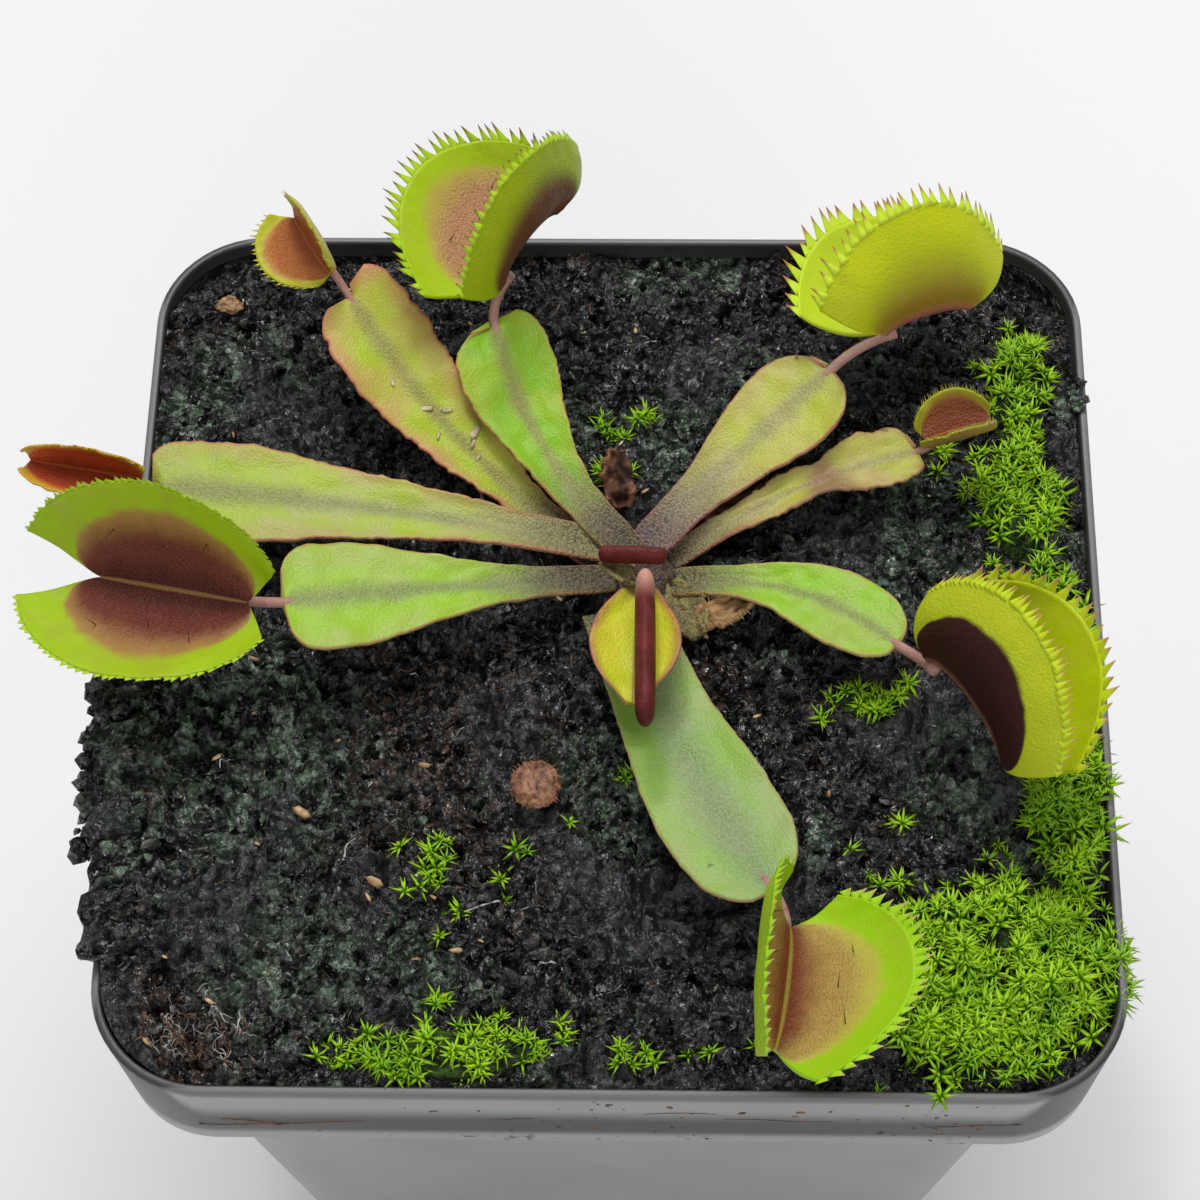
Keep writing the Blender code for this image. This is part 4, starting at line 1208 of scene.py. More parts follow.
for number, trap in TRAPS.items():
    grow_blade(number)
    rng = random.Random(40 + number)
    large = trap["span"] > LARGE_SPAN
    bm = thicken(lobe_sheet(number, *((96, 60) if large else (56, 36))), 0.75, back_slot=1)
    for side in (-1, 1):
        count, length, width, lean = trap["teeth"][0 if side < 0 else 1]
        for i in range(count):
            s = min(max((i + 0.5 + rng.uniform(-0.22, 0.22)) / count, 0.01), 0.99)
            here, across, along, inward = lobe_frame(number, side, s, 1.0)
            near_end = 0.65 + 0.35 * min(1, min(s, 1 - s) * 7)
            long = length * near_end * rng.uniform(0.72, 1.15)
            tilt = math.radians(lean + rng.uniform(-9, 9))
            ahead = across * math.cos(tilt) + inward * math.sin(tilt) + along * rng.uniform(-0.14, 0.14)
            foot = here - inward * 0.16
            thick = 0.75 * width if width < 0.4 else 0.42
            size = Vector((width * rng.uniform(0.85, 1.1), thick, long)) * MM
            stamp(bm, TOOTH, pose_of(foot * MM, ahead, inward, size))
        if not large:
            continue
        for s, t in ((0.32, 0.5), (0.5, 0.36), (0.68, 0.5)):
            here, across, along, inward = lobe_frame(number, side, s, t)
            ahead = inward + across * rng.uniform(-0.2, 0.5) + along * rng.uniform(-0.3, 0.3)
            stamp(bm, HAIR, pose_of(here * MM, ahead, across, Vector((0.11, 0.11, 1.7)) * MM))
    piece(f"lobes_{number}", bm, [*trap_finish[number], hair_skin], [f"trap_{number}"])

# %% [markdown]
# ## The crown and the young leaves
# At the crown the leaf bases overlap like the scales of a bulb. Two young leaves stand up from it: each
# is a small cupped blade with a shut trap folded over it, which from above is a smooth dark red bar. The
# front bar has a paler tip. The bars are rods, rounded at both ends, and the blades are sheets.

# %% Finishes of the middle
crown_skin, shader, where, _ = new_material("crown_skin", 0.5, 0.45)
tone = clouds(where, 420.0, 4.0, 0.65)
colour = mix(step(tone, 0.35, 0.65), (0.04, 0.02, 0.016), (0.1, 0.055, 0.035))
pebbled_coat(shader, where, colour, tone, 3600.0, 0.8, 0.15 * MM, 0.9)

young_skin, shader, where, on_leaf = new_material("young_leaf_skin", 0.42, 0.28)
place = coordinates(on_leaf)
across = abs(place[1] - 0.5) * 2.0
tone = clouds(where, 380.0, 4.0, 0.6)
wander = (tone - 0.5) * 0.2
colour = mix(step(tone, 0.3, 0.7), (0.52, 0.58, 0.02), (0.66, 0.6, 0.04))
colour = mix(step(across + wander, 0.72, 0.96), colour, (0.52, 0.3, 0.07))
colour = mix(step(across + wander, 0.93, 1.0), colour, (0.33, 0.12, 0.09))
fold = step(place[1], 0.72, 0.62) * step(place[1], 0.46, 0.5)
colour = mix(fold * 0.8, colour, (0.3, 0.17, 0.05))
colour = mix(step(place[0], 0.22, 0.0), colour, (0.22, 0.17, 0.05))
pebbled_coat(shader, where, colour, tone, 3900.0, 0.2, 0.1 * MM, 0.6)

bud_skin, shader, where, on_bud = new_material("shut_trap_skin", 0.5, 0.18)
place = coordinates(on_bud)
tone = clouds(where, 520.0, 4.0, 0.6)
colour = mix(step(tone, 0.3, 0.7), (0.085, 0.009, 0.01), (0.165, 0.022, 0.02))
tip = place[0] + tone * 0.05
front = step(coordinates(where)[1], 2.4 * MM, 1.8 * MM)
colour = mix(step(tip, 0.3, 0.08) * front, colour, (0.62, 0.33, 0.24))
pebbled_coat(shader, where, colour, tone, 4300.0, 0.35, 0.08 * MM, 0.6)

withered, shader, where, on_leaf = new_material("withered_leaf", 0.55, 0.4)
tone = clouds(where, 520.0, 5.0, 0.65)
colour = mix(step(tone, 0.35, 0.6), (0.06, 0.028, 0.02), (0.24, 0.1, 0.045))
colour = mix(step(clouds(where, 1400.0, 4.0, 0.7), 0.6, 0.72), colour, (0.38, 0.24, 0.12))
wire(colour, shader, "Base Color")
folds = clouds(vector_maths("MULTIPLY", on_leaf, (3.0, 26.0, 1.0))[0], 1.0, 4.0, 0.6)
relief(shader, folds + tone, 0.35 * MM, 0.9)

dried_tan, shader, where, on_leaf = new_material("dried_tan_trap", 0.55, 0.35)
stretched = vector_maths("MULTIPLY", on_leaf, (2.0, 22.0, 1.0))[0]
grain = clouds(stretched, 1.0, 4.0, 0.6)
tone = clouds(where, 500.0, 4.0, 0.6)
colour = mix(step(grain, 0.36, 0.62), (0.22, 0.1, 0.035), (0.5, 0.31, 0.13))
colour = mix(step(tone, 0.55, 0.7) * 0.7, colour, (0.1, 0.05, 0.025))
wire(colour, shader, "Base Color")
relief(shader, grain + tone, 0.25 * MM, 0.8)

olive_skin, shader, where, _ = new_material("old_olive_leaf", 0.42, 0.5)
tone = clouds(where, 450.0, 5.0, 0.65)
colour = mix(step(tone, 0.35, 0.65), (0.17, 0.13, 0.045), (0.36, 0.31, 0.1))
pebbled_coat(shader, where, colour, tone, 3600.0, 0.6, 0.2 * MM, 0.9)


# %% Forms of the middle
def posed(turn, pitch, at):
    """A frame at a place given from the crown in millimetres, heading and pitch in degrees."""
    pose = Matrix.Rotation(math.radians(turn), 4, "Z") @ Matrix.Rotation(-math.radians(pitch), 4, "Y")
    return Matrix.Translation(CROWN + Vector(at)) @ pose


def cupped(pose, length, width, curl, form=0.85, wave=0.25, seed=1.0, outward=1.0):
    """A small leaf whose sides curl up: a shape for sheet()."""

    def place(v, side):
        half = width / 2 * (0.12 + 0.88 * math.sin(math.pi * min(0.02 + 0.98 * v**outward, 1)) ** form)
        lift = curl * side * side * math.sin(math.pi * v) ** 0.5
        lift += noise.noise(Vector((v * 6, side * 2, seed))) * wave
        return pose @ Vector((v * length, side * half, lift))

    return place


def pod(pose, length, depth, thickness, bend=0.0, seed=1.0):
    """A shut trap: a rod drawn out along its length and pinched at its ends."""

    def path(k):
        lift = bend * math.sin(math.pi * k) + 0.12 * noise.noise(Vector((k * 4, seed, 0)))
        return pose @ Vector(((k - 0.5) * length, 0, lift))

    def radius(k):
        rounding = (1 - (1 - min(min(k, 1 - k) * 10, 1)) ** 2.4) ** 0.5
        return depth / 2 * rounding * (0.92 + 0.08 * math.sin(math.pi * k)) + 0.02

    bm = rod(path, radius, sides=20, cuts=46, flat=1.0)
    middle = pose @ Vector((0, 0, 0))
    aside = (pose.to_3x3() @ Vector((0, 1, 0))).normalized()
    for vert in bm.verts:
        off = (vert.co / MM - middle).dot(aside)
        vert.co -= aside * off * (1 - thickness / depth) * MM
    return bm


bm = bmesh.new()
bmesh.ops.create_uvsphere(bm, u_segments=48, v_segments=24, radius=1)
for vert in bm.verts:
    scales = 0.12 * abs(math.sin(4 * math.atan2(vert.co.y, vert.co.x) + 3 * vert.co.z))
    rough = 0.12 * noise.fractal(vert.co * 2.2, 1.0, 2.0, 4)
    vert.co *= 1 + scales + rough
half = (crown_high - crown_low) / 2
bmesh.ops.scale(bm, vec=(half.x * 0.75, half.y * 0.75, half.z * 0.7), verts=bm.verts)
bmesh.ops.translate(bm, vec=(crown_low + crown_high) / 2 - Vector((0, 0, half.z * 0.3)), verts=bm.verts)
CROWN_SCALES = ((232, 20, 4.2, 3.4), (-48, 16, 3.8, 3.2), (82, 30, 3.4, 2.8))  # turn, pitch, length, width
for i, (turn, pitch, length, width) in enumerate(CROWN_SCALES):
    pose = posed(turn, pitch, (0, 0, 1.6)) @ Matrix.Translation((0.6, 0, 0))
    scale = cupped(pose, length, width, 0.9, 0.7, 0.2, i * 2.3)
    join(bm, thicken(sheet(18, 12, scale, thinner(0.6)), 0.6))
piece("crown_scales", bm, [crown_skin], ["crown"])

# %% Young leaves and their shut traps
blade = cupped(posed(-92, 12, (-0.25, -2.2, 5.9)), 13.2, 7.6, 1.5, 0.8, 0.35, 3.0, 1.25)
bm = thicken(sheet(56, 28, blade, thinner(0.75)), 0.6)
piece("young_leaf_1", bm, [young_skin], ["young_blade_1"])
pose = posed(-89.5, 12, (0.35, -10.7, 10.2))
piece("shut_trap_1", pod(pose, 16.4, 3.2, 1.75, 0.35, 2.0), [bud_skin], ["bud_trap_1"])
blade = cupped(posed(-38, 2, (-3.6, -0.4, 7.2)), 4.0, 1.4, 0.5, 0.6, 0.2, 5.0)
bm = thicken(sheet(28, 16, blade, thinner(0.4)), 0.6)
piece("young_leaf_2", bm, [olive_skin], ["young_blade_2"])
pose = posed(-4, 4, (-0.8, -1.0, 8.7))
piece("shut_trap_2", pod(pose, 5.9, 2.0, 1.35, 0.1, 6.0), [bud_skin], ["bud_trap_2"])

# %% [markdown]
# ### What has died back
# Old leaves shrivel round the crown: an olive blade, a fringed orange brown trap, a dark wrinkled stub
# and a speckled strip. They are sheets too, crumpled by stronger noise, and the dead trap keeps a few
# of its teeth as dry hairs.


# %% Dead leaves
def crumpled(pose, length, width, curl, crush, seed):
    def place(v, side):
        half = width / 2 * (0.4 + 0.6 * math.sin(math.pi * min(v * 1.08, 1)))
        half *= 1 + 0.35 * noise.noise(Vector((v * 7, side, seed)))
        lift = curl * side * side + crush * noise.noise(Vector((v * 5, side * 2.5, seed + 4)))
        return pose @ Vector((v * length, side * half, lift))

    return place


def dead_piece(name, node_name, at, turn, pitch, length, width, curl, crush, finish, hairs):
    """A shrivelled leaf with this many dry teeth left along its sides."""
    pose = posed(turn, pitch, at)
    place = crumpled(pose, length, width, curl, crush, length)
    bm = thicken(sheet(30, 18, place), 0.45)
    rng = random.Random(node_name)
    for _ in range(hairs):
        v, side = rng.random(), rng.choice((-1, 1))
        out_way = pose.to_3x3() @ Vector((rng.uniform(-0.4, 0.4), side, rng.uniform(0, 0.7)))
        size = Vector((0.2, 0.3, rng.uniform(0.6, 1.2))) * MM
        stamp(bm, TOOTH, pose_of(place(v, side) * MM, out_way, UP, size))
    piece(name, bm, [finish, finish, finish], [node_name])


# Name, CAD node, place from the crown, turn, pitch, length, width, curl, crush, finish, number of teeth.
DEAD_PIECES = (
    ("olive_blade", "dead_blade", (2.2, -0.6, 3.4), -62, -4, 5.8, 4.2, 0.4, 0.6, olive_skin, 0),
    ("dried_trap", "dead_trap", (4.9, -4.2, 2.9), 24, 6, 5.0, 2.7, 0.5, 0.5, dried_tan, 22),
    ("wrinkled_stub", "old_stub", (-2.0, 7.6, 2.4), 97, 30, 5.0, 2.6, 0.8, 0.7, withered, 6),
    ("speckled_strip", "brown_strip", (5.0, 6.3, 2.6), 38, -6, 7.4, 1.7, 0.3, 0.6, withered, 0),
)
for values in DEAD_PIECES:
    dead_piece(*values)

# %% [markdown]
# ## Star moss
# Bright star moss grows in cushions along the right and the front of the pot, and in small tufts on
# the open peat. Each shoot is a rosette of narrow pointed leaves, about three millimetres across. It
# could be faked with a bumpy surface, but the points catch the light one by one, so real rosettes are
# stamped, from a few templates of a few dozen faces each, over a rough dark bed.


# %% Moss rosettes
def rosette_mesh(seed):
    """A rosette 1 across and about half as high: rings of narrow leaves, steeper towards the middle."""
    rng = random.Random(seed)
    bm = bmesh.new()
    bm.loops.layers.uv.new("UVMap")
    for count, lift, length in ((5, 12, 0.60), (4, 36, 0.54), (2, 66, 0.42)):
        for i in range(count):
            turn = math.tau * (i + rng.uniform(-0.3, 0.3)) / count + lift
            rise = math.radians(lift + rng.uniform(-12, 14))
            small = bmesh.new()
            uv = small.loops.layers.uv.new("UVMap")
            bmesh.ops.create_cone(small, cap_ends=True, segments=3, radius1=0.095, radius2=0.0, depth=1)
            for face in small.faces:
                for loop in face.loops:
                    loop[uv].uv = (loop.vert.co.z + 0.5, 0.5)
            bmesh.ops.translate(small, vec=(0, 0, 0.5), verts=small.verts)
            for vert in small.verts:
                vert.co.y *= 0.45
                vert.co.z *= length * rng.uniform(0.97, 1.03)
            ahead = Vector((math.cos(turn) * math.cos(rise), math.sin(turn) * math.cos(rise), math.sin(rise)))
            side_up = ahead.cross(UP).cross(ahead)
            bmesh.ops.transform(small, matrix=pose_of(ahead * 0.03, ahead, side_up), verts=small.verts)
            join(bm, small)
    return template(bm)


ROSETTES = [rosette_mesh(seed) for seed in range(5)]
print("faces in one rosette:", len(ROSETTES[0].polygons))

# %% Moss green
moss_skin, shader, where, on_leaf = new_material("star_moss", 0.42, 0.45)
place = coordinates(on_leaf)
tone = clouds(where, 260.0, 3.0, 0.6)
spot = clouds(where, 1300.0, 2.0, 0.6)
colour = mix(step(tone, 0.36, 0.62), (0.2, 0.44, 0.004), (0.38, 0.66, 0.01))
colour = mix(step(place[0], 0.3, 0.0), colour, (0.06, 0.17, 0.006))
colour = mix(step(place[0], 0.6, 1.0) * 0.6, colour, (0.56, 0.78, 0.03))
colour = mix(step(spot, 0.66, 0.74) * 0.5, colour, (0.3, 0.26, 0.06))
wire(colour, shader, "Base Color")
relief(shader, spot, 0.05 * MM, 0.4)

moss_bed, shader, where, _ = new_material("moss_bed", 0.7, 0.3)
fine = clouds(where, 1500.0, 5.0, 0.7)
colour = mix(step(fine, 0.42, 0.62), (0.008, 0.014, 0.004), (0.045, 0.11, 0.008))
wire(colour, shader, "Base Color")
relief(shader, fine, 0.5 * MM, 1.0)


# %% Grow the moss
def inside_pot(x, y, spare):
    """Whether a place, in millimetres, is inside the rim by at least this much."""
    half, radius = RIM_SIDE / 2 / MM - spare, RIM_CORNER / MM - spare
    px, py = max(abs(x) - (half - radius), 0), max(abs(y) - (half - radius), 0)
    return abs(x) < half and abs(y) < half and math.hypot(px, py) <= radius


def peat_top(x, y):
    return soil_height(x * MM, y * MM) / MM + grains(x, y)


def moss_cushion(
    name, node_name, x, y, length, width, turn, height, count, spare, size=(2.1, 3.5), strays=()
):
    """A bed and rosettes over an ellipse round (x, y), all in millimetres and degrees."""
    rng = random.Random(name)
    lean = Matrix.Rotation(math.radians(turn), 2)
    bm = bmesh.new()
    bm.loops.layers.uv.new("UVMap")
    bmesh.ops.create_uvsphere(bm, u_segments=48, v_segments=20, radius=1)
    for vert in bm.verts:
        p = lean @ Vector((vert.co.x * length / 2, vert.co.y * width / 2)) * 0.93
        ragged = 1 + 0.18 * noise.noise(Vector((p.x / 2.2, p.y / 2.2, x)))
        sx, sy = x + p.x * ragged, y + p.y * ragged
        while not inside_pot(sx, sy, 1.6):
            sx, sy = sx * 0.995, sy * 0.995
        dome = height * vert.co.z * 0.8 if vert.co.z > 0 else vert.co.z * 1.5
        lumps = 0.35 * noise.noise(Vector((sx, sy, 0)) / 0.8) * max(vert.co.z, 0)
        vert.co = Vector((sx, sy, peat_top(sx, sy) + dome + lumps)) * MM
    for face in bm.faces:
        face.material_index = 1
    made = 0
    while made < count:
        r, angle = math.sqrt(rng.random()) * 1.08, rng.uniform(0, math.tau)
        p = lean @ Vector((r * math.cos(angle) * length / 2, r * math.sin(angle) * width / 2))
        if r > 0.8 and rng.random() < 0.45:
            continue
        sx, sy = x + p.x, y + p.y
        if not inside_pot(sx, sy, spare):
            continue
        made += 1
        across = rng.uniform(*size)
        dome = height * math.sqrt(max(1 - r * r, 0)) * 0.8
        z = peat_top(sx, sy) + dome + rng.uniform(-0.2, 0.5)
        lean_out = Vector((p.x / length, p.y / width, 1.3))
        lean_out += Vector((rng.uniform(-0.7, 0.7), rng.uniform(-0.7, 0.7), 0))
        spin = Vector((math.cos(made), math.sin(made), 0))
        size_now = Vector((across, across, across * rng.uniform(0.7, 1.1))) * MM
        stamp(bm, rng.choice(ROSETTES), pose_of(Vector((sx, sy, z)) * MM, lean_out, spin, size_now))
    for sx, sy, stars in strays:
        for _ in range(stars):
            px, py = sx + rng.gauss(0, 0.55) * (stars > 1), sy + rng.gauss(0, 0.7) * (stars > 1)
            across = rng.uniform(1.7, 2.7)
            upward = Vector((rng.uniform(-0.5, 0.5), rng.uniform(-0.5, 0.5), 1))
            where = Vector((px, py, peat_top(px, py) + 0.15)) * MM
            star, spin = rng.choice(ROSETTES), Vector((1, rng.random(), 0))
            stamp(bm, star, pose_of(where, upward, spin, Vector((across, across, across * 0.8)) * MM))
    bmesh.ops.recalc_face_normals(bm, faces=bm.faces)
    piece(name, bm, [moss_skin, moss_bed], [node_name])


# Name, CAD node, x, y, length, width, turn, height, number of stars, room left to the rim, range of star
# sizes, and the strays beside the cushion: x, y and how many.
CUSHIONS = (
    (
        "stars_right_back", "moss_right_back", 36.4, 25.6, 13.0, 5.2, 82, 1.3, 66, 0.6, (2.1, 3.3),
        ((35.6, 31.8, 4), (33.6, 28.0, 2)),
    ),
    (
        "stars_right_upper", "moss_right_upper", 36.0, 13.6, 12.0, 7.0, 86, 1.4, 84, 0.4, (2.1, 3.3),
        ((28.5, 17.7, 4), (32.6, 17.6, 3), (31.2, 14.1, 3), (33.4, 7.6, 3), (36.8, 18.6, 4)),
    ),
    (
        "stars_right_middle", "moss_right_middle", 38.0, 1.5, 12.5, 6.0, 90, 1.5, 84, -0.4, (2.1, 3.4),
        ((34.6, 4.4, 2), (25.1, -5.1, 3)),
    ),
    (
        "stars_right_front", "moss_right_front", 38.6, -16.5, 15.0, 7.0, 88, 1.9, 130, -1.4, (2.1, 3.5),
        ((24.3, -17.9, 3), (32.6, -20.2, 3)),
    ),
    (
        "stars_corner", "moss_corner", 31.8, -31.6, 21.5, 16.0, 22, 2.2, 440, -1.2, (2.1, 3.5),
        ((20.9, -22.1, 4), (23.8, -23.2, 4), (22.0, -41.6, 2), (27.4, -41.4, 2), (24.0, -38.6, 3)),
    ),
    (
        "stars_front", "moss_front", -13.6, -38.7, 16.0, 4.6, 0, 1.1, 62, 0.3, (1.8, 3.1),
        (
            (-22.2, -38.8, 3), (-24.0, -37.8, 2), (-5.6, -38.4, 6), (-3.4, -37.8, 4), (1.2, -38.2, 5),
            (3.6, -38.0, 3), (7.4, -38.2, 3), (-13.6, -34.2, 4), (-9.4, -35.6, 4), (12.0, -37.6, 1),
        ),
    ),
    (
        "tuft_back", "moss_tuft_back", -0.4, 16.0, 5.0, 3.0, 20, 0.5, 14, 1.0, (1.8, 2.8),
        ((-0.8, 21.6, 5), (2.4, 22.0, 5), (0.8, 20.2, 3)),
    ),
    (
        "tuft_right", "moss_tuft_right", 21.7, -6.6, 6.0, 3.2, 0, 0.5, 20, 1.0, (1.8, 2.9),
        ((18.6, -8.4, 2), (1.2, -13.6, 3), (-3.4, -18.6, 1)),
    ),
    (
        "tuft_front", "moss_tuft_front", -14.6, -22.2, 5.5, 2.4, 80, 0.4, 12, 1.0, (1.8, 2.9),
        (
            (-17.6, -20.4, 1), (-13.2, -26.0, 3), (-14.0, -28.6, 1), (-9.0, -23.0, 2), (-8.0, -20.8, 2),
            (-17.0, -24.6, 1),
        ),
    ),
)
for values in CUSHIONS:
    moss_cushion(*values)

# %% [markdown]
# ## Crumbs, fibres and what has fallen on the peat
# A smooth height never looks like peat, because real peat is loose: flakes lie on it at all angles and
# shade each other. A few thousand crumbs of twenty faces each are stamped over it, thickest on the left
# crust, with thin brown and white fibres, tan chips, pale grains and one fuzzy brown seed head.


# %% Scatter crumbs
def crumb_mesh(seed):
    bm = bmesh.new()
    bmesh.ops.create_icosphere(bm, subdivisions=1, radius=0.5)
    for vert in bm.verts:
        vert.co *= 1 + 0.55 * noise.noise(vert.co * 3 + Vector((seed * 5.3, 0, 0)))
    return template(bm)


CRUMBS = [crumb_mesh(seed) for seed in range(8)]


def stamp_many(bm, placed):
    """Stamps (template, matrix, slot) by the tray, which is quicker than one by one."""
    for start in range(0, len(placed), 120):
        tray = bmesh.new()
        for shape, pose, slot in placed[start : start + 120]:
            before = len(tray.faces)
            stamp(tray, shape, pose)
            if slot:
                tray.faces.ensure_lookup_table()
                for face in tray.faces[before:]:
                    face.material_index = slot
        join(bm, tray)


rng = random.Random(7)
placed = []
wanted = 9000
while len(placed) < wanted:
    x, y = rng.uniform(-43, 43), rng.uniform(-42, 42)
    crust = smooth((-x - 30) / 8) * smooth((12 - y) / 8) * smooth((y + 27) / 4)
    if not inside_pot(x, y, 1.3 - 2.6 * crust) or rng.random() < film(x, y) * 0.93:
        continue
    size = 0.3 + 1.0 * rng.random() ** 2.2 + 0.3 * crust * rng.random()
    ahead = Vector((rng.uniform(-1, 1), rng.uniform(-1, 1), rng.uniform(-0.9, 0.9)))
    up = Vector((rng.uniform(-1.1, 1.1), rng.uniform(-1.1, 1.1), 1))
    where = Vector((x, y, peat_top(x, y) + size * 0.15))
    shape = Vector((rng.uniform(0.5, 1.0), rng.uniform(0.12, 0.3), rng.uniform(0.9, 1.9))) * size * MM
    tint = 0
    if rng.random() < 0.6:
        tint = rng.choice((0, 1, 0, 0))
        if rng.random() < nearness(ALGAE, x, y):
            tint = 2
        elif rng.random() < nearness(BARK, x, y):
            tint = 3
    if x < -20 and y < -22 and rng.random() < 0.35:
        tint = 1
    placed.append((rng.choice(CRUMBS), pose_of(where * MM, ahead, up, shape), tint))
for _ in range(420):  # clods that hang over the left of the rim
    x, y = rng.uniform(-44.4, -41.5), rng.uniform(-22.5, 7)
    size = rng.uniform(0.5, 1.9)
    where = Vector((x, y, RIM_Z / MM + rng.uniform(0.6, 3.4)))
    ahead = Vector((rng.uniform(-1, 1), rng.uniform(-1, 1), rng.uniform(-0.8, 0.8)))
    shape = Vector((size, size * rng.uniform(0.3, 0.7), size * rng.uniform(0.8, 1.3))) * MM
    placed.append((rng.choice(CRUMBS), pose_of(where * MM, ahead, UP, shape), 0))
for _ in range(26):  # and a few over the back of the right side
    where = Vector((rng.uniform(41.2, 42.3), rng.uniform(23.5, 27.0), RIM_Z / MM + rng.uniform(-0.2, 0.5)))
    size = rng.uniform(0.4, 1.1)
    shape = Vector((size, size * 0.6, size)) * MM
    crumb, ahead = rng.choice(CRUMBS), Vector((1, rng.uniform(-1, 1), 0.2))
    placed.append((crumb, pose_of(where * MM, ahead, UP, shape), 0))
bm = bmesh.new()
stamp_many(bm, placed)
crumbs = piece("peat_crumbs", bm, [wet_peat, dry_peat, green_peat, brown_peat])
for face in crumbs.data.polygons:
    face.use_smooth = False

# %% [markdown]
# ### Fibres and chips
# Roots and fibres of the peat are rods a tenth of a millimetre thick that arch over the surface. They
# gather at the front left corner, where white threads of mould grow through them as well.


# %% Finishes of the litter
def litter_finish(name, one, other, rough=0.65, scale=900.0):
    made, shader, where, _ = new_material(name, rough, 0.4)
    tone = clouds(where, scale, 4.0, 0.65)
    wire(mix(step(tone, 0.35, 0.65), one, other), shader, "Base Color")
    relief(shader, tone, 0.15 * MM, 0.8)
    return made


fibre_brown = litter_finish("brown_fibre", (0.05, 0.025, 0.014), (0.24, 0.14, 0.08))
fibre_white = litter_finish("white_thread", (0.22, 0.21, 0.19), (0.60, 0.58, 0.54))
chip_pale = litter_finish("pale_splinter", (0.42, 0.33, 0.18), (0.70, 0.60, 0.40), 0.55)
chip_tan = litter_finish("tan_chip", (0.26, 0.14, 0.06), (0.62, 0.42, 0.22), 0.55)
bark_brown = litter_finish("orange_brown_bark", (0.12, 0.05, 0.02), (0.45, 0.27, 0.12), 0.6, 1200.0)
seed_skin = litter_finish("seed_head_skin", (0.09, 0.03, 0.016), (0.36, 0.17, 0.09), 0.6, 1100.0)


# %% Lay the fibres
def fibre(x, y, length, turn, arch, thick, slot):
    """A thread lying on the peat round (x, y), all in millimetres."""
    seed = Vector((x, y, length))
    heading = Vector((math.cos(turn), math.sin(turn), 0))
    aside = Vector((-heading.y, heading.x, 0))

    def path(k):
        swing = noise.noise(seed + Vector((k * 1.5, 0, 0))) * length * 0.4
        spot = Vector((x, y, 0)) + heading * (k - 0.5) * length + aside * swing
        rise = arch * math.sin(math.pi * k) * (0.6 + 0.4 * math.sin(9 * k + x))
        spot.z = peat_top(spot.x, spot.y) - 0.1 + rise
        return spot

    return rod(path, lambda k: thick * (1 - 0.5 * k), sides=5, cuts=9, slot=slot)


rng = random.Random(21)
bm = bmesh.new()
for _ in range(700):
    corner = rng.random() < 0.42
    if corner:
        x, y = rng.gauss(-34.2, 2.6), rng.gauss(-38.2, 1.5)
    else:
        x, y = rng.uniform(-40, 38), rng.uniform(-40, 36)
    if not inside_pot(x, y, 2.5):
        continue
    white = rng.random() < (0.4 if corner else 0.22)
    length = rng.uniform(0.6, 2.0)
    turn, arch, thick = rng.uniform(0, math.tau), rng.uniform(0.1, 0.8), rng.uniform(0.025, 0.07)
    join(bm, fibre(x, y, length, turn, arch, thick, int(white)))
THREADS = ((-10, -26, 9, 0.1), (-4.5, -31.6, 3.0, -0.6), (-22, -21, 3.0, 1.2), (12, -22, 4.0, 0.8))
for x, y, length, turn in THREADS:
    join(bm, fibre(x, y, length, turn, 0.25, 0.12, 1))
piece("peat_fibres", bm, [fibre_brown, fibre_white])

# %% Hairs and dirt on the band
def band_half(z):
    """Half the width of the band at a height, both in millimetres."""
    up = (z * MM - BAND_FOOT_Z) / (RIM_Z - BAND_FOOT_Z)
    return (BAND_FOOT_SIDE + (RIM_SIDE - BAND_FOOT_SIDE) * up) / 2 / MM


def band_hair(x, z, length, drop, thick):
    """A dried root stuck to the front of the band."""

    def path(k):
        here_x = x + (k - 0.5) * length
        here_z = z + drop * math.sin(3 * k + x) + 0.3 * noise.noise(Vector((k * 3, x, z)))
        return Vector((here_x, -band_half(here_z) + 0.02, here_z))

    return rod(path, lambda k: thick * (0.5 + math.sin(math.pi * k) * 0.5), sides=5, cuts=16)


# Middle, height, length, drop and thickness of each.
BAND_HAIRS = (
    (-27, 71.5, 14, 0.7, 0.10),
    (-29.5, 72.2, 5, 0.5, 0.12),
    (-8, 73.4, 4, 0.2, 0.08),
    (14, 73.6, 9, 0.3, 0.07),
    (30, 72.6, 8, 0.4, 0.07),
    (6, 75.2, 6, 0.5, 0.07),
)
bm = bmesh.new()
for values in BAND_HAIRS:
    join(bm, band_hair(*values))
placed = []
rng = random.Random(5)
for _ in range(70):
    x, z = rng.choice((rng.uniform(-38, 38), rng.gauss(0, 5), rng.gauss(26, 6))), rng.uniform(67.5, 79)
    half = band_half(z)
    if abs(x) > half - 10:
        continue
    size = rng.uniform(0.12, 0.5)
    shape = Vector((size * rng.uniform(0.6, 2.0), size * 0.25, size)) * MM
    crumb, ahead = rng.choice(CRUMBS), Vector((rng.uniform(-1, 1), 0, 1))
    placed.append((crumb, pose_of(Vector((x, -half, z)) * MM, ahead, Vector((0, -1, 0)), shape), 0))
stamp_many(bm, placed)
piece("band_dirt", bm, [fibre_brown])

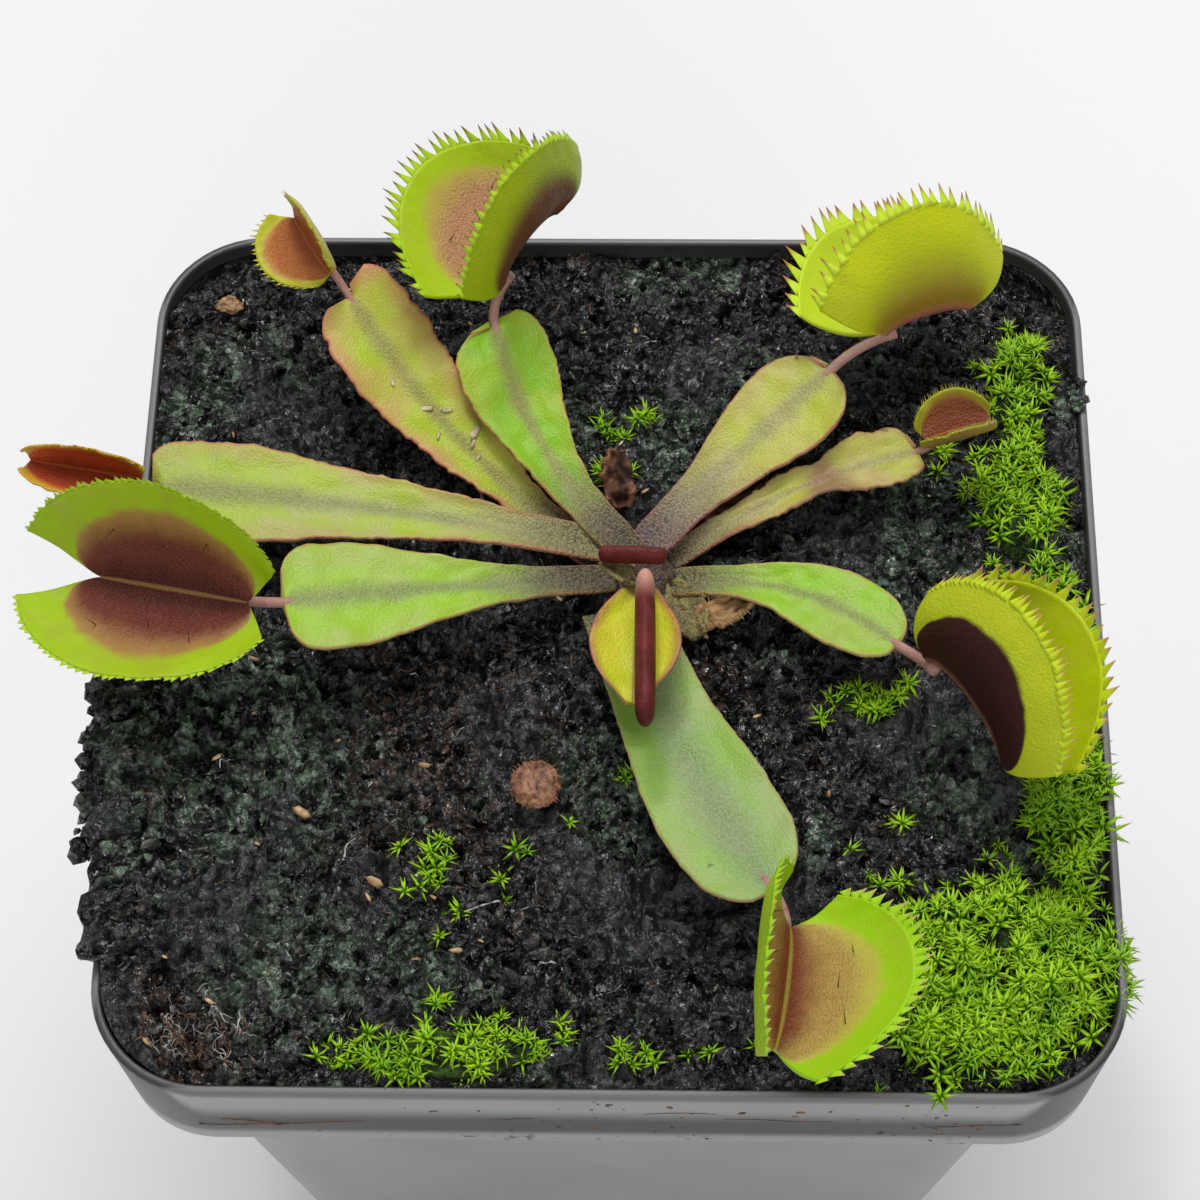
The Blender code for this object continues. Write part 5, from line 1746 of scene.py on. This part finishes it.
# %% Chips and grains
bm = bmesh.new()
placed = []
rng = random.Random(11)
for _ in range(60):
    x, y = rng.uniform(-40, 40), rng.uniform(-40, 38)
    if not inside_pot(x, y, 2.0):
        continue
    size = rng.uniform(0.2, 0.6)
    shape = Vector((size * 0.7, size * 0.4, size * rng.uniform(1.0, 2.2))) * MM
    ahead = Vector((rng.uniform(-1, 1), rng.uniform(-1, 1), rng.uniform(-0.2, 0.2)))
    spot = Vector((x, y, peat_top(x, y) + 0.2)) * MM
    placed.append((rng.choice(CRUMBS), pose_of(spot, ahead, UP, shape), rng.choice((0, 0, 1))))
# Tan chips on the peat: x, y and size.
TAN_CHIPS = (
    (-19.5, -24.0, 1.3), (-26.0, -17.5, 1.4), (-15.8, -13.2, 0.9), (-12.5, -30.0, 0.8), (-16.0, -30.5, 0.9),
    (14.0, -35.0, 0.8),
)
for x, y, size in TAN_CHIPS:
    shape = Vector((size * 0.7, size * 0.5, size * 1.5)) * MM
    spot = Vector((x, y, peat_top(x, y) + 0.35)) * MM
    placed.append((rng.choice(CRUMBS), pose_of(spot, Vector((1, 0.8 * math.sin(x), 0)), UP, shape), 0))
# Splinters of wood that have dropped on the third leaf: how far along, how far across, and size.
SPLINTERS = (
    (0.60, 0.1, 1.0), (0.56, -0.25, 0.8), (0.46, -0.5, 1.3), (0.44, -0.2, 0.7), (0.72, 0.3, 0.7),
    (0.52, 0.35, 0.6), (0.40, 0.0, 0.6),
)
for v, side, size in SPLINTERS:
    spot = blade_point(3, v, side) + Vector((0, 0, 0.12))
    ahead = Vector((rng.uniform(-1, 1), rng.uniform(-1, 1), 0.05))
    shape = Vector((size * 0.6, size * 0.2, size * 1.5)) * MM
    placed.append((rng.choice(CRUMBS), pose_of(spot * MM, ahead, UP, shape), 1))
stamp_many(bm, placed)
piece("chips", bm, [chip_tan, chip_pale])

# %% Seed head and bark flake
seed_low, seed_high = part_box("seed_head")
middle, half = (seed_low + seed_high) / 2, (seed_high - seed_low) / 2
bm = bmesh.new()
bmesh.ops.create_icosphere(bm, subdivisions=5, radius=1)
for vert in bm.verts:
    p = vert.co.copy()
    ribs = 0.05 * abs(math.sin(9 * math.atan2(p.y, p.x)))
    vert.co *= 1 + 0.10 * noise.fractal(p * 3.2, 0.9, 2.0, 4) - ribs
    vert.co.z -= 0.35 * math.exp(-((p.xy.length / 0.3) ** 2)) * (1 if p.z > 0 else 0)
bmesh.ops.scale(bm, vec=half * 1.02, verts=bm.verts)
bmesh.ops.translate(bm, vec=middle + Vector((0, 0, 0.3 * MM)), verts=bm.verts)
rng = random.Random(3)
for _ in range(90):
    way = Vector((rng.gauss(0, 1), rng.gauss(0, 1), rng.uniform(0, 1.2))).normalized()
    foot = middle + Vector((way.x * half.x, way.y * half.y, way.z * half.z + 0.3 * MM)) * 0.97
    size = Vector((0.1, 0.1, rng.uniform(0.3, 0.6))) * MM
    stamp(bm, HAIR, pose_of(foot, way + Vector((0, 0, 0.2)), Vector((way.y, -way.x, 0.1)), size))
for face in bm.faces:
    face.material_index = 0
piece("fuzzy_seed_head", bm, [seed_skin], ["seed_head"])

low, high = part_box("bark_flake")
middle, half = (low + high) / 2, (high - low) / 2
bm = bmesh.new()
bmesh.ops.create_icosphere(bm, subdivisions=4, radius=1)
for vert in bm.verts:
    p = vert.co.copy()
    vert.co *= 1 + 0.45 * noise.fractal(p * 1.3 + Vector((2, 0, 0)), 1.0, 2.0, 3)
    vert.co.z += 0.25 * math.sin(7 * p.y + 3 * noise.noise(p * 2))
bmesh.ops.scale(bm, vec=(half.x * 1.1, half.y * 0.8, half.z * 0.8), verts=bm.verts)
bmesh.ops.translate(bm, vec=middle + Vector((0, 0, 0.3 * MM)), verts=bm.verts)
piece("tan_bark_flake", bm, [bark_brown], ["bark_flake"])

# %% [markdown]
# ## The floor
# The pot stands on a plain pale sheet that runs on far behind it. It isn't part of the plant.

# %% Pale floor
bm = bmesh.new()
bmesh.ops.create_grid(bm, x_segments=4, y_segments=4, size=3)
bmesh.ops.translate(bm, vec=(0, 0, -0.02 * MM), verts=bm.verts)
mesh = bpy.data.meshes.new("floor")
bm.to_mesh(mesh)
bm.free()
floor = bpy.data.objects.new("floor", mesh)
scene.collection.objects.link(floor)
floor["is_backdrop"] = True
paper, shader, where, _ = new_material("pale_paper", 0.85, 0.2)
shade = clouds(where, 2.5, 2.0, 0.5)
wire(mix(shade, (0.79, 0.785, 0.78), (0.82, 0.815, 0.81)), shader, "Base Color")
mesh.materials.append(paper)

# %% [markdown]
# ## Measure and finish
# The finished plant is measured, and how far it stands proud of the frame's box on each side is printed; soft
# parts may stand proud of it a little.

# %% Measure and finish
low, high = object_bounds()
print(
    "stands proud, in mm, low:", [round(c / MM, 2) for c in cad_low - low], "high:",
    [round(c / MM, 2) for c in high - cad_high],
)
